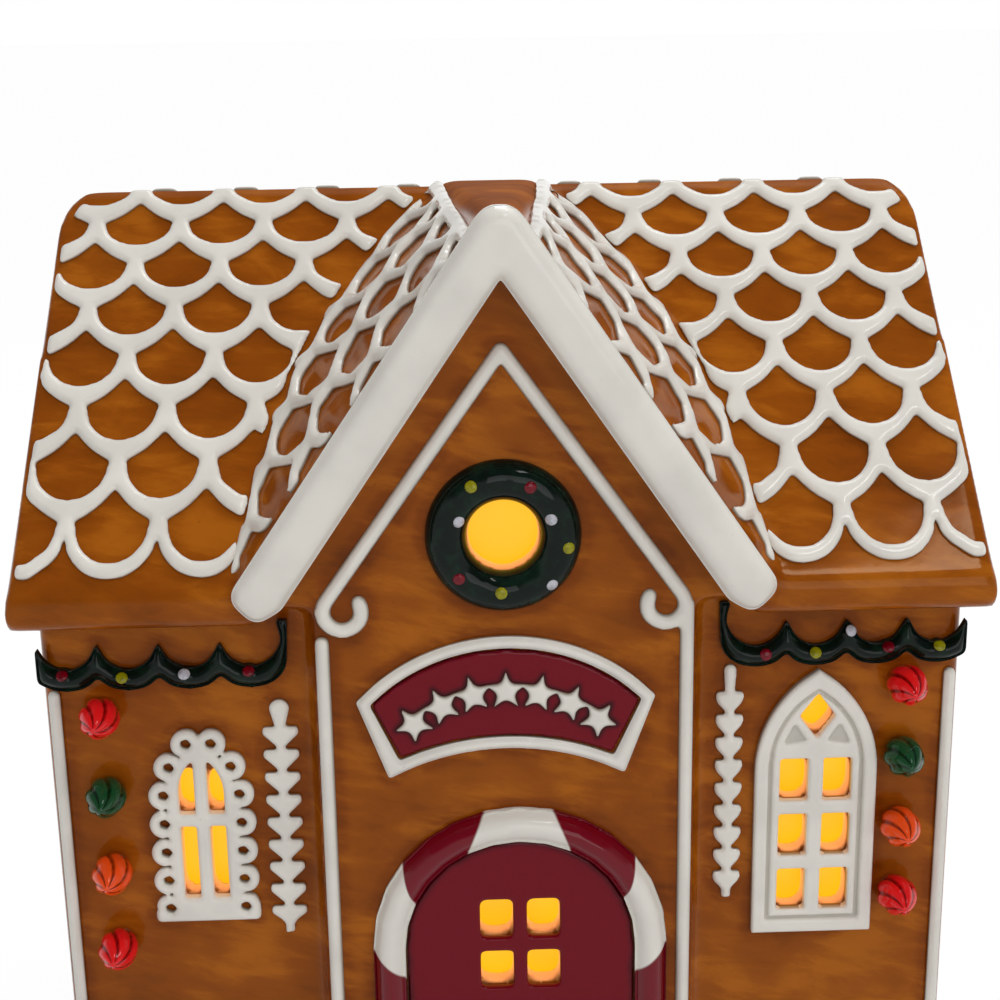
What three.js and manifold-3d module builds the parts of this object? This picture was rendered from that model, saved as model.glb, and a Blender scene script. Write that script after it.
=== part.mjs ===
// Light-up gingerbread shop: a hollow slip-cast house with raised icing, plug-in bulbs and a battery base.
// Millimetres, +Z up, front towards -Y, origin under the middle of the object on the table.

import * as THREE from 'three';
import { mergeVertices } from 'three/addons/utils/BufferGeometryUtils.js';
import Module from 'manifold-3d';

const wasm = await Module();
wasm.setup();

// Roof, measured from the ridge line
const ridgeHeight = 228;
const eaveLength = 203;
const ridgeInset = 2.5;
const roofRun = 76;
const roofPitch = THREE.MathUtils.degToRad(45);
const slabThickness = 7;
const fasciaHeight = 7;
const ridgeCornerRadius = 9;
const eaveRadius = 2.5;

// Walls and the projecting bay
const wallLength = 197;
const wallDepth = 128;
const wallThickness = 5.5;
const wallCornerRadius = 4;
const bayWidth = 81;
const bayProjection = 6;
const bayCornerRadius = 2.5;
const footHeight = 1.5;
const footRadius = 2.3;

// Cross gable, splayed towards the back so that the casting leaves its mould
const gablePitch = THREE.MathUtils.degToRad(54.2);
const gableDrop = 81;
const crestHalfWidth = 0.8;
const crestDraft = 0.12;
const draftGrowth = 0.0075;
const fullDraft = 0.48;

// Shingle icing
const icingHeight = 1.2;
const seatGap = 0.3;
const icingWidth = 3;
const shingleLap = 4.6;
const shinglePitch = 19;
const firstShingle = 23.5;
const shingleHalfWidth = 8;
const shingleSteps = 5;
const plainSteps = 4;
const firstRow = 11.2;
const rowPitch = 11.2;
const rowGrowth = 0.3;
const rowCount = 7;
const cuspRise = 6;
const shoulderRise = 0.38;
const cuspGrowth = 0.3;
const ridgeMargin = 2.2;
const sideMargin = 2;
const gableRowPitch = 10.8;
const gableFirstRow = 17.5;
const gableRowCount = 6;
const gableShingle = 19;
const gableMargin = 3.5;
const gableCrestMargin = 7;

// Icing lines and the bargeboard
const bargeDepth = 4.5;
const bargeRise = 1.7;
const bargeTopRadius = 5.4;
const bargePitch = THREE.MathUtils.degToRad(55.6);
const bargeWidth = 10.1;
const bargeLift = 0.2;
const bargeDroop = 5.7;
const bargeFootTilt = 0.45;
const bargeFootRadius = 3.2;
const gableLineDrop = 27.6;
const gableLineWidth = 2.8;
const curlRadius = 4;
const curlDrop = 5.7;
const curlClearance = 0.4;
const bayLineInset = 2.5;
const bayLineWidth = 2.6;
const cornerLineInset = 3;
const cornerLineWidth = 2.1;
const lineRelief = 1.6;
const lineFoot = 8;

// Wreath, sign, garlands
const wreathDrop = 38.4;
const wreathRadius = 11.9;
const wreathThickness = 4.3;
const dotRadius = 1.2;
const dotRelief = 0.5;
const wreathDots = [
  [-6.5, 11.4], [5.5, 11], [-9, 4], [9.6, 4.1],
  [13.2, -2], [-9.3, -8], [-0.7, -11.2], [9.8, -9.9],
];
const signDrop = 21.7;
const signTopRadius = 42.6;
const signHalfTop = 31.4;
const signHeight = 24.9;
const signBottomRadius = 52.7;
const signHalfBottom = 25;
const signBorder = 2.5;
const signRelief = 2.2;
const starCount = 7;
const starRadius = 4.2;
const starPitch = 7;
const starWaist = 0.5;
const starLift = -0.6;
const garlandDrop = 12.6;
const garlandBayGap = 6.4;
const garlandSag = 5.6;
const swagRoundness = 0.85;
const garlandBand = 4.5;
const garlandRelief = 2.8;
const garlandTilt = 0.8;
const garlandSwags = 4;
const swagSteps = 5;
const garlandDots = [
  [[5.7, 6.9], [18.2, 7.6], [31.2, 7.2], [44.7, 6.9]],
  [[6.2, 5.2], [17.2, 5.2], [25.2, 1.4], [32.7, 6], [44.2, 3.4]],
];

// Windows: each apex hangs from the garland's peaks, each sill from its apex
const laceCornerGap = 32.7;
const laceDrop = 23.6;
const laceHeight = 38.8;
const laceHalfWidth = 7.3;
const laceBar = 2.6;
const laceLoopRadius = 3.1;
const laceLoopHole = 1.5;
const laceLoopPitch = 6.5;
const laceLoopReach = 0.9;
const laceLoopLift = 1.8;
const gothicCornerGap = 31.3;
const gothicDrop = 10.4;
const gothicHeight = 62;
const gothicHalfWidth = 13.3;
const gothicPaneRows = 3;
const sideDrop = 13.4;
const sideHeight = 49;
const sidePaneRows = 2;
const archAspect = 1.75;
const paneDrop = 20.5;
const diamondHalfWidth = 3.9;
const diamondHalfHeight = 5.3;
const diamondLift = 9.9;
const spandrel = [[4.9, 8.3], [7.3, 3.4], [2.2, 4.2]];
const frameBand = 3;
const frameGroove = 0.8;
const laceBand = 2.3;
const laceTopPane = 13.9;
const laceSillReach = 4;
const paneWidth = 6.2;
const paneHeight = 9.9;
const paneBar = 3.2;
const frameRelief = 2.4;

// Vines, door and bulbs
const vineShift = 0.7;
const vineDrawnRoom = 14;
const vineDrops = [14.4, 9.1];
const vineLeafPitch = 5.3;
const vineLeafPairs = 9;
const vineHalfWidths = [3.6, 2.8];
const vineStem = 0.9;
const vineLeaf = 3.4;
const vineTip = 1.5;
const vineBud = 7;
const vineBudRadii = [2, 1.2];
const archLineGap = 6;
const archBand = 7;
const archDrop = 14;
const archShift = 2.3;
const archRelief = 4.5;
const doorRelief = 2;
const doorWindowWidth = 7;
const doorWindowHeight = 9;
const doorPanelFoot = 14;
const doorPanelDrop = 53.4;
const doorStile = 4;
const bulbCornerGap = 12.9;
const bulbDrops = [16.1, 13.4];
const bulbPitches = [18.1, 16.5];
const bulbCount = 4;
const bulbRadius = 4.6;
const bulbLength = 11;
const bulbBelly = 3.6;
const bulbShoulder = 6.4;
const bulbTip = 1.8;
const bulbTwist = 0.09;
const bulbFlute = 0.88;
const stemReach = 1.5;
const stemRadius = 1.9;
const stemHoleRadius = 2.2;

// Base tray, cells and light
const trayRecess = 3;
const trayFloor = 3.2;
const trayRim = 9;
const traySkin = 1.6;
const trayClearance = 0.3;
const cellDiameter = 14.2;
const cellLength = 49.5;
const cellNub = 1;
const cellNubRadius = 2.7;
const cellEdge = 0.6;
const cellCount = 3;
const cellPitch = 15.2;
const cellBoxLength = 57;
const doorThickness = 2;
const doorClearance = 0.35;
const hingeRadius = 1.5;
const hingePin = 0.75;
const hingeBarrel = 8;
const hingeLift = 0.2;
const hingePinReach = 1.3;
const pinClearance = 0.2;
const screwTab = 9;
const screwRadius = 1.2;
const screwHeadRadius = 2.3;
const screwHeadHeight = 1.2;
const screwLength = 6.5;
const screwHoleRadius = 1.9;
const screwClearance = 0.2;
const screwSlot = 0.6;
const screwSeat = 0.1;
const bossRadius = 4;
const bossHeight = 6;
const contactThickness = 0.5;
const contactSize = 10;
const leafWidth = 6;
const leafBow = [[-4, 0], [-0.6, 1], [0.8, 1], [3.4, 0.4]];
const leafSeat = 0.2;
const switchPlace = 62;
const switchSize = [14, 7, 6];
const knobSize = [4, 2.8];
const knobReach = 1.8;
const gripPitch = 1.2;
const gripWidth = 0.5;
const switchTravel = 4;
const knobDepth = 2;
const postRadius = 5;
const postHeight = 54;
const postFlange = [3, 2, 5];
const postTaper = 1;
const boardRadius = 9;
const boardThickness = 1.6;
const lensRadius = 4;
const lensSkirt = 2;
const lensSteps = 4;
const leadRadius = 0.7;
const leadSpread = 1.5;
const leadRoom = 1.2;
const leadRise = 4;
const leadBow = 3.5;
const leadBowHeight = 10;
const leadTopRoom = 20;
const leadSteps = 12;
const filmThickness = 0.8;
const filmMargin = 3;

// Derived places
const tanPitch = Math.tan(roofPitch);
const eaveHeight = ridgeHeight - roofRun * tanPitch;
const fasciaBottom = eaveHeight - fasciaHeight;
const slabDrop = slabThickness / Math.cos(roofPitch);
const wallFront = -wallDepth / 2;
const bayFront = wallFront - bayProjection;
const gableFront = -roofRun;
const bargeFront = gableFront - bargeDepth;
const bargeTop = ridgeHeight + bargeRise;
const bargeFoot = eaveHeight + bargeLift;
const gableLineApex = ridgeHeight - gableLineDrop;
const curlHeight = eaveHeight - curlDrop;
const bayLineOffset = bayWidth / 2 - bayLineInset;
const garlandPitch = (wallLength / 2 - bayWidth / 2 - garlandBayGap) / garlandSwags;
const laceCentre = -(wallLength / 2 - laceCornerGap);
const gothicCentre = wallLength / 2 - gothicCornerGap;
const bulbOffset = wallLength / 2 - bulbCornerGap;
const laceInnerEdge = -laceCentre - laceHalfWidth - laceSillReach;
const vineRoom = laceInnerEdge - bayWidth / 2;
const vineOffset = (laceInnerEdge + bayWidth / 2) / 2 + (vineShift * vineRoom) / vineDrawnRoom;
const archRadius = bayLineOffset - archLineGap;
const wreathHeight = gableLineApex - wreathDrop;
const signTop = wreathHeight - signDrop;
const signBottom = signTop - signHeight;
const archHeight = signBottom - archDrop;
const garlandPeak = eaveHeight - garlandDrop;
const laceApex = garlandPeak - laceDrop;
const laceSill = laceApex - laceHeight;
const gothicApex = garlandPeak - gothicDrop;
const gothicSill = gothicApex - gothicHeight;
const sideApex = garlandPeak - sideDrop;
const sideSill = sideApex - sideHeight;
const tanGable = Math.tan(gablePitch);
const trayBottom = footHeight + trayRecess;
const trayTop = trayBottom + trayFloor;
const gableIcingSeat = seatGap / Math.cos(gablePitch);
const gableIcingTop = gableIcingSeat + icingHeight / Math.cos(gablePitch);
const cellBoxHalfX = cellBoxLength / 2;
const cellBoxHalfY = (cellCount * cellPitch) / 2 + 2 * seatGap;
const cellBoxTop = trayTop + cellDiameter + 3 * seatGap;
const cellHeight = trayBottom + doorThickness + seatGap + cellDiameter / 2;
const hingeY = cellBoxHalfY + hingeRadius + doorClearance;
const hingeZ = trayBottom + doorThickness / 2 + hingeLift;
const screwY = -(cellBoxHalfY + screwTab - 1.5 * screwHeadRadius);
const postBottom = cellBoxTop + traySkin;
const boardBottom = postBottom + postHeight;
const bigSpan = 400;

// Booleans
function solid(geometry) {
  const bare = geometry.clone();
  bare.deleteAttribute('normal');
  bare.deleteAttribute('uv');
  const welded = mergeVertices(bare, 1e-4);
  return new wasm.Manifold(new wasm.Mesh({
    numProp: 3,
    vertProperties: new Float32Array(welded.attributes.position.array),
    triVerts: new Uint32Array(welded.index.array),
  }));
}

function toGeometry(body) {
  const mesh = body.getMesh();
  const geometry = new THREE.BufferGeometry();
  geometry.setAttribute('position', new THREE.BufferAttribute(mesh.vertProperties, 3));
  geometry.setIndex(new THREE.BufferAttribute(mesh.triVerts, 1));
  geometry.computeVertexNormals();
  return geometry;
}

function join(bodies) {
  return bodies.reduce((sum, body) => sum.add(body));
}

function cut(body, tools) {
  return tools.reduce((rest, tool) => rest.subtract(tool), body);
}

function largest(body) {
  return body.decompose().reduce((best, next) => (next.volume() > best.volume() ? next : best));
}

// Outlines: corners are [x, y] or [x, y, radius], counterclockwise
function outline(corners, arcStep = 0.4) {
  const points = [];
  corners.forEach(([x, y, radius = 0], index) => {
    const corner = new THREE.Vector2(x, y);
    if (!radius) {
      points.push(corner);
      return;
    }
    const [beforeX, beforeY] = corners.at(index - 1);
    const [afterX, afterY] = corners[(index + 1) % corners.length];
    const toBefore = new THREE.Vector2(beforeX - x, beforeY - y).normalize();
    const toAfter = new THREE.Vector2(afterX - x, afterY - y).normalize();
    const half = Math.acos(toBefore.dot(toAfter)) / 2;
    const reach = radius / Math.tan(half);
    const centre = toBefore.clone().add(toAfter).setLength(radius / Math.sin(half)).add(corner);
    const from = toBefore.multiplyScalar(reach).add(corner).sub(centre).angle();
    const to = toAfter.multiplyScalar(reach).add(corner).sub(centre).angle();
    const sweep = THREE.MathUtils.euclideanModulo(to - from + Math.PI, 2 * Math.PI) - Math.PI;
    const steps = Math.max(2, Math.ceil(Math.abs(sweep) / arcStep));
    for (let step = 0; step <= steps; step += 1) {
      points.push(onCircle(centre.x, centre.y, radius, from + (sweep * step) / steps));
    }
  });
  return points;
}

function onCircle(x, y, radius, angle) {
  return new THREE.Vector2(x + radius * Math.cos(angle), y + radius * Math.sin(angle));
}

function arc(x, y, radius, from, to, steps) {
  const points = [];
  for (let step = 0; step <= steps; step += 1) {
    points.push(onCircle(x, y, radius, from + ((to - from) * step) / steps));
  }
  return points;
}

function circle(x, y, radius, steps = 16) {
  return arc(x, y, radius, 0, 2 * Math.PI * (1 - 1 / steps), steps - 1);
}

function rectangle(x0, y0, x1, y1, radius = 0) {
  return outline([[x0, y0, radius], [x1, y0, radius], [x1, y1, radius], [x0, y1, radius]]);
}

function mirrored(points) {
  return points.map((point) => new THREE.Vector2(-point.x, point.y)).reverse();
}

// A line of icing along a path, with round ends
function ribbon(path, width, endSteps = 4) {
  const left = [];
  const right = [];
  path.forEach((point, index) => {
    const before = path[Math.max(index - 1, 0)];
    const after = path[Math.min(index + 1, path.length - 1)];
    const into = point.clone().sub(before);
    const out = after.clone().sub(point);
    const along = (into.lengthSq() ? into.clone().normalize() : out.clone().normalize())
      .add(out.lengthSq() ? out.clone().normalize() : into.clone().normalize()).normalize();
    const bend = into.lengthSq() && out.lengthSq() ? Math.max(along.dot(out.normalize()), 0.5) : 1;
    const side = new THREE.Vector2(-along.y, along.x).multiplyScalar(width / 2 / bend);
    left.push(point.clone().add(side));
    right.push(point.clone().sub(side));
  });
  const cap = (end, from) => arc(end.x, end.y, width / 2, from, from - Math.PI, endSteps).slice(1, -1);
  const last = path.at(-1);
  const first = path[0];
  const endAngle = left.at(-1).clone().sub(last).angle();
  const startAngle = right[0].clone().sub(first).angle();
  return [...left, ...cap(last, endAngle), ...right.reverse(), ...cap(first, startAngle)];
}

// Extrusions in three directions
function plate(points, depth, holes = []) {
  const shape = new THREE.Shape(points);
  shape.holes = holes.map((hole) => new THREE.Path(hole));
  return new THREE.ExtrudeGeometry(shape, { depth, bevelEnabled: false });
}

function upright(points, from, to) {
  return solid(plate(points, to - from).translate(0, 0, from));
}

function alongX(points, from, to) {
  const turn = new THREE.Matrix4().makeBasis(
    new THREE.Vector3(0, 1, 0), new THREE.Vector3(0, 0, 1), new THREE.Vector3(1, 0, 0),
  );
  return solid(plate(points, to - from).applyMatrix4(turn).translate(from, 0, 0));
}

// The outline is seen from the front; the solid runs from its back plane towards the viewer
function forward(points, back, depth, holes = []) {
  return solid(plate(points, depth, holes).applyMatrix4(facingFront()).translate(0, back, 0));
}

function facingFront() {
  return new THREE.Matrix4().makeBasis(
    new THREE.Vector3(1, 0, 0), new THREE.Vector3(0, 0, 1), new THREE.Vector3(0, -1, 0),
  );
}

// Raised relief with softened edges, flat at the back
function softRelief(points, back, depth, edge, holes = []) {
  const shape = new THREE.Shape(points);
  shape.holes = holes.map((hole) => new THREE.Path(hole));
  const raised = new THREE.ExtrudeGeometry(shape, {
    depth, bevelThickness: edge, bevelSize: edge, bevelOffset: -edge, bevelSegments: 1,
  });
  raised.translate(0, 0, -edge).applyMatrix4(facingFront()).translate(0, back, 0);
  return solid(raised).subtract(behind(back));
}

function behind(back) {
  return solid(new THREE.BoxGeometry(bigSpan, bigSpan, 2 * bigSpan).translate(0, back + bigSpan / 2, 0));
}

function box(x0, y0, z0, x1, y1, z1) {
  const shape = new THREE.BoxGeometry(x1 - x0, y1 - y0, z1 - z0);
  return solid(shape.translate((x0 + x1) / 2, (y0 + y1) / 2, (z0 + z1) / 2));
}

function rod(x, y, z0, z1, radius, sides = 12) {
  return upright(circle(x, y, radius, sides), z0, z1);
}

// Roof forms
function roofOutline(inset, top) {
  const eave = eaveLength / 2 - inset;
  const ridge = eave - ridgeInset;
  const radius = ridgeCornerRadius + 1.5 * inset;
  const bottom = fasciaBottom - 1;
  return outline([[-eave, bottom], [eave, bottom], [ridge, top, radius], [-ridge, top, radius]]);
}

function roofSlab() {
  const undercut = roofRun - (fasciaBottom - eaveHeight + slabDrop) / tanPitch;
  const profile = outline([
    [-roofRun, fasciaBottom, eaveRadius],
    [-undercut, fasciaBottom],
    [0, ridgeHeight - slabDrop],
    [undercut, fasciaBottom],
    [roofRun, fasciaBottom, eaveRadius],
    [roofRun, eaveHeight, eaveRadius],
    [0, ridgeHeight, eaveRadius],
    [-roofRun, eaveHeight, eaveRadius],
  ]);
  const slab = alongX(profile, -eaveLength / 2, eaveLength / 2);
  return slab.intersect(forward(roofOutline(0, ridgeHeight - 0.4 * eaveRadius), bigSpan / 2, bigSpan));
}

function underRoof(lift) {
  return alongX([
    new THREE.Vector2(-roofRun * 1.2, ridgeHeight + lift - roofRun * 1.2 * tanPitch),
    new THREE.Vector2(roofRun * 1.2, ridgeHeight + lift - roofRun * 1.2 * tanPitch),
    new THREE.Vector2(0, ridgeHeight + lift),
  ], -bigSpan / 2, bigSpan / 2);
}

// Half width of the cross gable at a drop below its crest and a distance behind its front
function gableHalfWidth(drop, depth) {
  const draft = Math.min(fullDraft, crestDraft + draftGrowth * drop);
  return crestHalfWidth + drop / tanGable + depth * draft;
}

function gableForm(lift = 0) {
  const columns = 2;
  const levels = 6;
  const form = new THREE.BoxGeometry(2, 1, 1, 1, columns, levels);
  const place = form.attributes.position;
  for (let index = 0; index < place.count; index += 1) {
    const depth = (place.getY(index) + 0.5) * roofRun;
    const drop = (0.5 - place.getZ(index)) * gableDrop;
    const half = gableHalfWidth(drop, depth);
    place.setXYZ(index, place.getX(index) * half, gableFront + depth, ridgeHeight - drop + lift);
  }
  return solid(form);
}

// Walls under the roof, and the bay under the cross gable
function mainWalls() {
  const half = wallLength / 2;
  const plan = rectangle(-half, wallFront, half, -wallFront, wallCornerRadius);
  const gableLine = ridgeHeight - slabDrop / 2;
  const eaves = gableLine + wallFront * tanPitch;
  const end = [
    new THREE.Vector2(wallFront, footHeight),
    new THREE.Vector2(-wallFront, footHeight),
    new THREE.Vector2(-wallFront, eaves),
    new THREE.Vector2(0, gableLine),
    new THREE.Vector2(wallFront, eaves),
  ];
  return upright(plan, footHeight, ridgeHeight).intersect(alongX(end, -half, half));
}

function bayWalls() {
  const half = bayWidth / 2;
  const plan = rectangle(-half, bayFront, half, wallFront + wallThickness, bayCornerRadius);
  const apex = ridgeHeight - slabThickness / Math.cos(gablePitch) / 2;
  return upright(plan, footHeight, ridgeHeight).intersect(forward(gableEnd(half, apex), 0, bigSpan));
}

function gableEnd(half, apex) {
  return [
    new THREE.Vector2(-half, footHeight),
    new THREE.Vector2(half, footHeight),
    new THREE.Vector2(half, apex - half * tanGable),
    new THREE.Vector2(0, apex),
    new THREE.Vector2(-half, apex - half * tanGable),
  ];
}

function innerHollow() {
  const half = wallLength / 2 - wallThickness;
  const front = wallFront + wallThickness;
  const apex = ridgeHeight - wallThickness / Math.cos(roofPitch);
  const end = [
    new THREE.Vector2(front, 0),
    new THREE.Vector2(-front, 0),
    new THREE.Vector2(-front, apex + front * tanPitch),
    new THREE.Vector2(0, apex),
    new THREE.Vector2(front, apex + front * tanPitch),
  ];
  const bayHalf = bayWidth / 2 - wallThickness;
  const bayApex = ridgeHeight - wallThickness / Math.cos(gablePitch);
  const bayDepth = -(bayFront + wallThickness);
  const bay = forward(gableEnd(bayHalf, bayApex), 0, bayDepth).add(
    forward(rectangle(-bayHalf, 0, bayHalf, footHeight + 1), 0, bayDepth),
  );
  const attic = gableForm(bayApex - ridgeHeight).intersect(box(-half, front, 0, half, 0, bigSpan));
  return join([alongX(end, -half, half), bay, attic]);
}

// The recess under the cross gable's overhang, in front of the bay
function gableRecess() {
  const apex = ridgeHeight - slabThickness / Math.cos(gablePitch);
  const drop = apex - fasciaBottom + 1;
  return forward([
    new THREE.Vector2(-drop / tanGable, apex - drop),
    new THREE.Vector2(drop / tanGable, apex - drop),
    new THREE.Vector2(0, apex),
  ], bayFront, bigSpan);
}

function houseShell() {
  const roof = roofSlab().add(gableForm());
  const below = upright(rectangle(-bigSpan / 2, -bigSpan / 2, bigSpan / 2, bigSpan / 2), 0, fasciaBottom);
  const cast = roof.subtract(below).subtract(gableRecess()).add(mainWalls()).add(bayWalls());
  return cut(cast, [innerHollow(), ...frontOpenings(), ...sideOpenings(), ...bulbHoles()]);
}

// Shingle lattice: the corner level of a row, the step to the next, and one cell's outline
function rowLevel(row) {
  return firstRow + rowPitch * (row - 1) + rowGrowth * (row - 1) ** 2;
}

function shingle(x, level, rise, drop, steps = shingleSteps) {
  const cell = [];
  for (let step = 0; step <= steps; step += 1) {
    const angle = Math.PI + (Math.PI * step) / steps;
    cell.push(new THREE.Vector2(x + shingleHalfWidth * Math.cos(angle), -level + drop * Math.sin(angle)));
  }
  const cusp = new THREE.Vector2(x, -level + rise);
  if (steps < shingleSteps) return [...cell, cusp];
  const shoulder = (side) => (
    new THREE.Vector2(x + (side * shingleHalfWidth) / 2, -level + rise * shoulderRise));
  return [...cell, shoulder(1), cusp, shoulder(-1)];
}

function rowDrop(row) {
  return rowLevel(row + 1) - rowLevel(row) - shingleLap;
}

// Icing for one slope between two x values: a sheet with a scalloped lower edge, less its cells
function slopeIcing(from, to, centreOf, steps) {
  const lastRow = rowLevel(rowCount);
  const sheet = rectangle(from, -lastRow, to, -ridgeMargin);
  const cells = [];
  const scallops = [];
  for (let row = 0; row <= rowCount; row += 1) {
    for (let x = centreOf(row); x < to + shingleHalfWidth; x += shinglePitch) {
      if (x < from - shingleHalfWidth) continue;
      cells.push(shingle(x, rowLevel(row), cuspRise + cuspGrowth * (row - 1), rowDrop(row), steps));
      if (row === rowCount) scallops.push(scallop(x, lastRow, rowDrop(row), steps));
    }
  }
  const raise = (points) => solid(plate(points, icingHeight));
  return cut(join([sheet, ...scallops].map(raise)), cells.map((cell) => deep(cell)));
}

function scallop(x, level, drop, steps = shingleSteps) {
  const points = [];
  for (let step = 0; step <= steps; step += 1) {
    const angle = Math.PI + (Math.PI * step) / steps;
    points.push(new THREE.Vector2(
      x + (shingleHalfWidth + icingWidth * 0.7) * Math.cos(angle),
      -level + (drop + icingWidth) * Math.sin(angle),
    ));
  }
  return [...points, new THREE.Vector2(x, -level + 1)];
}

function deep(points) {
  return solid(plate(points, icingHeight + 2).translate(0, 0, -1));
}

// Lays a flat sheet on the front or back slope, clear of it by the seat gap
function onSlope(sheet, facing) {
  const slope = new THREE.Vector3(0, -facing * Math.cos(roofPitch), Math.sin(roofPitch));
  const across = new THREE.Vector3(-facing, 0, 0);
  const normal = new THREE.Vector3().crossVectors(across, slope);
  const matrix = new THREE.Matrix4().makeBasis(across, slope, normal);
  const start = normal.clone().multiplyScalar(seatGap).add(new THREE.Vector3(0, 0, ridgeHeight));
  return sheet.transform(matrix.setPosition(start).elements);
}

function withinRoof(sheet) {
  return sheet.intersect(forward(roofOutline(sideMargin, ridgeHeight + seatGap), bigSpan / 2, bigSpan));
}

function frontIcing(side) {
  const centreOf = (row) => firstShingle - shinglePitch + (row % 2 ? 0 : shinglePitch / 2);
  const right = slopeIcing(0, eaveLength / 2 + 2, centreOf);
  const laid = withinRoof(onSlope(right, -1)).subtract(gableForm(gableIcingTop + gableIcingSeat));
  return largest(side > 0 ? laid : laid.mirror([1, 0, 0]));
}

function backIcing() {
  const half = eaveLength / 2 + 2;
  const first = -shinglePitch * Math.ceil(half / shinglePitch);
  const centreOf = (row) => first + (row % 2 ? 0 : shinglePitch / 2);
  return largest(withinRoof(onSlope(slopeIcing(-half, half, centreOf, plainSteps), 1)));
}

// The cross gable's icing follows its splayed sides: a raised copy of the form less a seated one
function gableIcingSheet(side) {
  const depth = roofRun - gableMargin;
  const top = gableCrestMargin;
  const bottom = gableFirstRow + gableRowPitch * (gableRowCount + 1);
  const cells = [];
  for (let row = 0; row <= gableRowCount + 1; row += 1) {
    const level = gableFirstRow + gableRowPitch * (row - 1);
    for (let x = row % 2 ? 0 : gableShingle / 2; x < roofRun + shingleHalfWidth; x += gableShingle) {
      cells.push(shingle(x, level, cuspRise, gableRowPitch - icingWidth, plainSteps));
    }
  }
  const reach = roofRun / 2;
  const raise = (points) => solid(plate(points, reach).translate(0, 0, -4));
  const lattice = cut(raise(rectangle(0, -bottom, depth, -top)), cells.map((cell) => (
    solid(plate(cell, reach + 4).translate(0, 0, -6)))));
  const sheet = lattice.add(raise(rectangle(0, -top - icingWidth, depth, -top)));
  const up = new THREE.Vector3(-side * Math.cos(gablePitch), 0, Math.sin(gablePitch));
  const along = new THREE.Vector3(0, side, 0);
  const normal = new THREE.Vector3().crossVectors(along, up);
  const matrix = new THREE.Matrix4().makeBasis(along, up, normal).setPosition(0, 0, ridgeHeight);
  const turned = side > 0 ? sheet.mirror([1, 0, 0]) : sheet;
  return turned.transform(matrix.elements);
}

function gableSlopeIcing(side) {
  const skin = gableForm(gableIcingTop).subtract(gableForm(gableIcingSeat));
  const trimmed = skin.intersect(gableIcingSheet(side)).subtract(underRoof(seatGap / Math.cos(roofPitch)));
  const margin = box(-bigSpan, gableFront - 1, 0, bigSpan, gableFront + gableMargin, bigSpan);
  return largest(trimmed.subtract(margin));
}

// Bargeboard and gable lines
function bargeboard() {
  const slope = Math.tan(bargePitch);
  const peak = bargeTop + bargeTopRadius * (1 / Math.cos(bargePitch) - 1);
  const reach = (peak - bargeFoot) / slope;
  const inner = peak - bargeWidth / Math.cos(bargePitch);
  const innerFoot = bargeFoot - bargeDroop * bargeFootTilt;
  const innerReach = (inner - innerFoot) / slope;
  const middle = (reach + innerReach) / 2;
  const corners = [
    [-reach, bargeFoot, bargeFootRadius],
    [-middle, bargeFoot - bargeDroop, bargeFootRadius],
    [-innerReach, innerFoot, bargeFootRadius],
    [0, inner],
    [innerReach, innerFoot, bargeFootRadius],
    [middle, bargeFoot - bargeDroop, bargeFootRadius],
    [reach, bargeFoot, bargeFootRadius],
    [0, peak, bargeTopRadius],
  ];
  return softRelief(outline(corners), gableFront, bargeDepth, 1.4);
}

function gablePath(side) {
  const tangent = Math.PI - (Math.PI / 2 - gablePitch);
  const curlX = bayLineOffset - curlRadius - curlClearance;
  const curl = arc(-curlX, curlHeight, curlRadius, tangent, 2 * Math.PI + 0.5, 9);
  const apex = new THREE.Vector2(0, gableLineApex);
  const path = [apex, ...curl];
  return side < 0 ? path : path.map((point) => new THREE.Vector2(-point.x, point.y));
}

function gableIcing() {
  const raise = (points) => forward(points, bayFront, lineRelief);
  const curls = [-1, 1].map((side) => raise(ribbon(gablePath(side), gableLineWidth)));
  return join([...curls, raise(uprightLine(bayLineOffset, curlHeight, bayLineWidth))]);
}

function uprightLine(x, top, width, foot = lineFoot) {
  return ribbon([new THREE.Vector2(x, top), new THREE.Vector2(x, foot)], width);
}

function bayLine() {
  const top = curlHeight - curlRadius - gableLineWidth / 2 - bayLineWidth / 2;
  return forward(uprightLine(-bayLineOffset, top, bayLineWidth), bayFront, lineRelief);
}

function cornerLine(side) {
  const x = side * (wallLength / 2 - cornerLineInset);
  const top = garlandPeak - garlandSag - garlandBand - cornerLineWidth;
  return forward(uprightLine(x, top, cornerLineWidth), wallFront, lineRelief);
}

// Wreath: a half ring lying on the bay
function wreath() {
  const ring = new THREE.TorusGeometry(wreathRadius, wreathThickness, 8, 18);
  ring.applyMatrix4(facingFront()).translate(0, bayFront, wreathHeight);
  const dots = wreathDots.map(([x, z]) => {
    const across = Math.hypot(x, z) - wreathRadius;
    const depth = Math.sqrt(wreathThickness ** 2 - across ** 2) + dotRelief;
    return forward(dotCircle(x, wreathHeight + z), bayFront, depth);
  });
  return join([solid(ring).subtract(behind(bayFront)), ...dots]);
}

function dotCircle(x, z) {
  return circle(x, z, dotRadius, 6);
}

// Sign: a curved banner with a raised border round a sunk panel
function signOutline(inset) {
  const topRadius = signTopRadius - inset;
  const topCentre = signTop - signTopRadius;
  const topAngle = Math.asin((signHalfTop - inset * 1.1) / topRadius);
  const bottomRadius = signBottomRadius + inset;
  const bottomCentre = signBottom - signBottomRadius;
  const bottomAngle = Math.asin((signHalfBottom - inset * 0.9) / bottomRadius);
  const up = Math.PI / 2;
  return [
    ...arc(0, bottomCentre, bottomRadius, up + bottomAngle, up - bottomAngle, 8),
    ...arc(0, topCentre, topRadius, up - topAngle, up + topAngle, 10),
  ];
}

function signFrame() {
  return forward(signOutline(0), bayFront, signRelief, [signOutline(signBorder)]);
}

function signPanel() {
  return forward(signOutline(signBorder + seatGap), bayFront, signRelief / 2);
}

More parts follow.
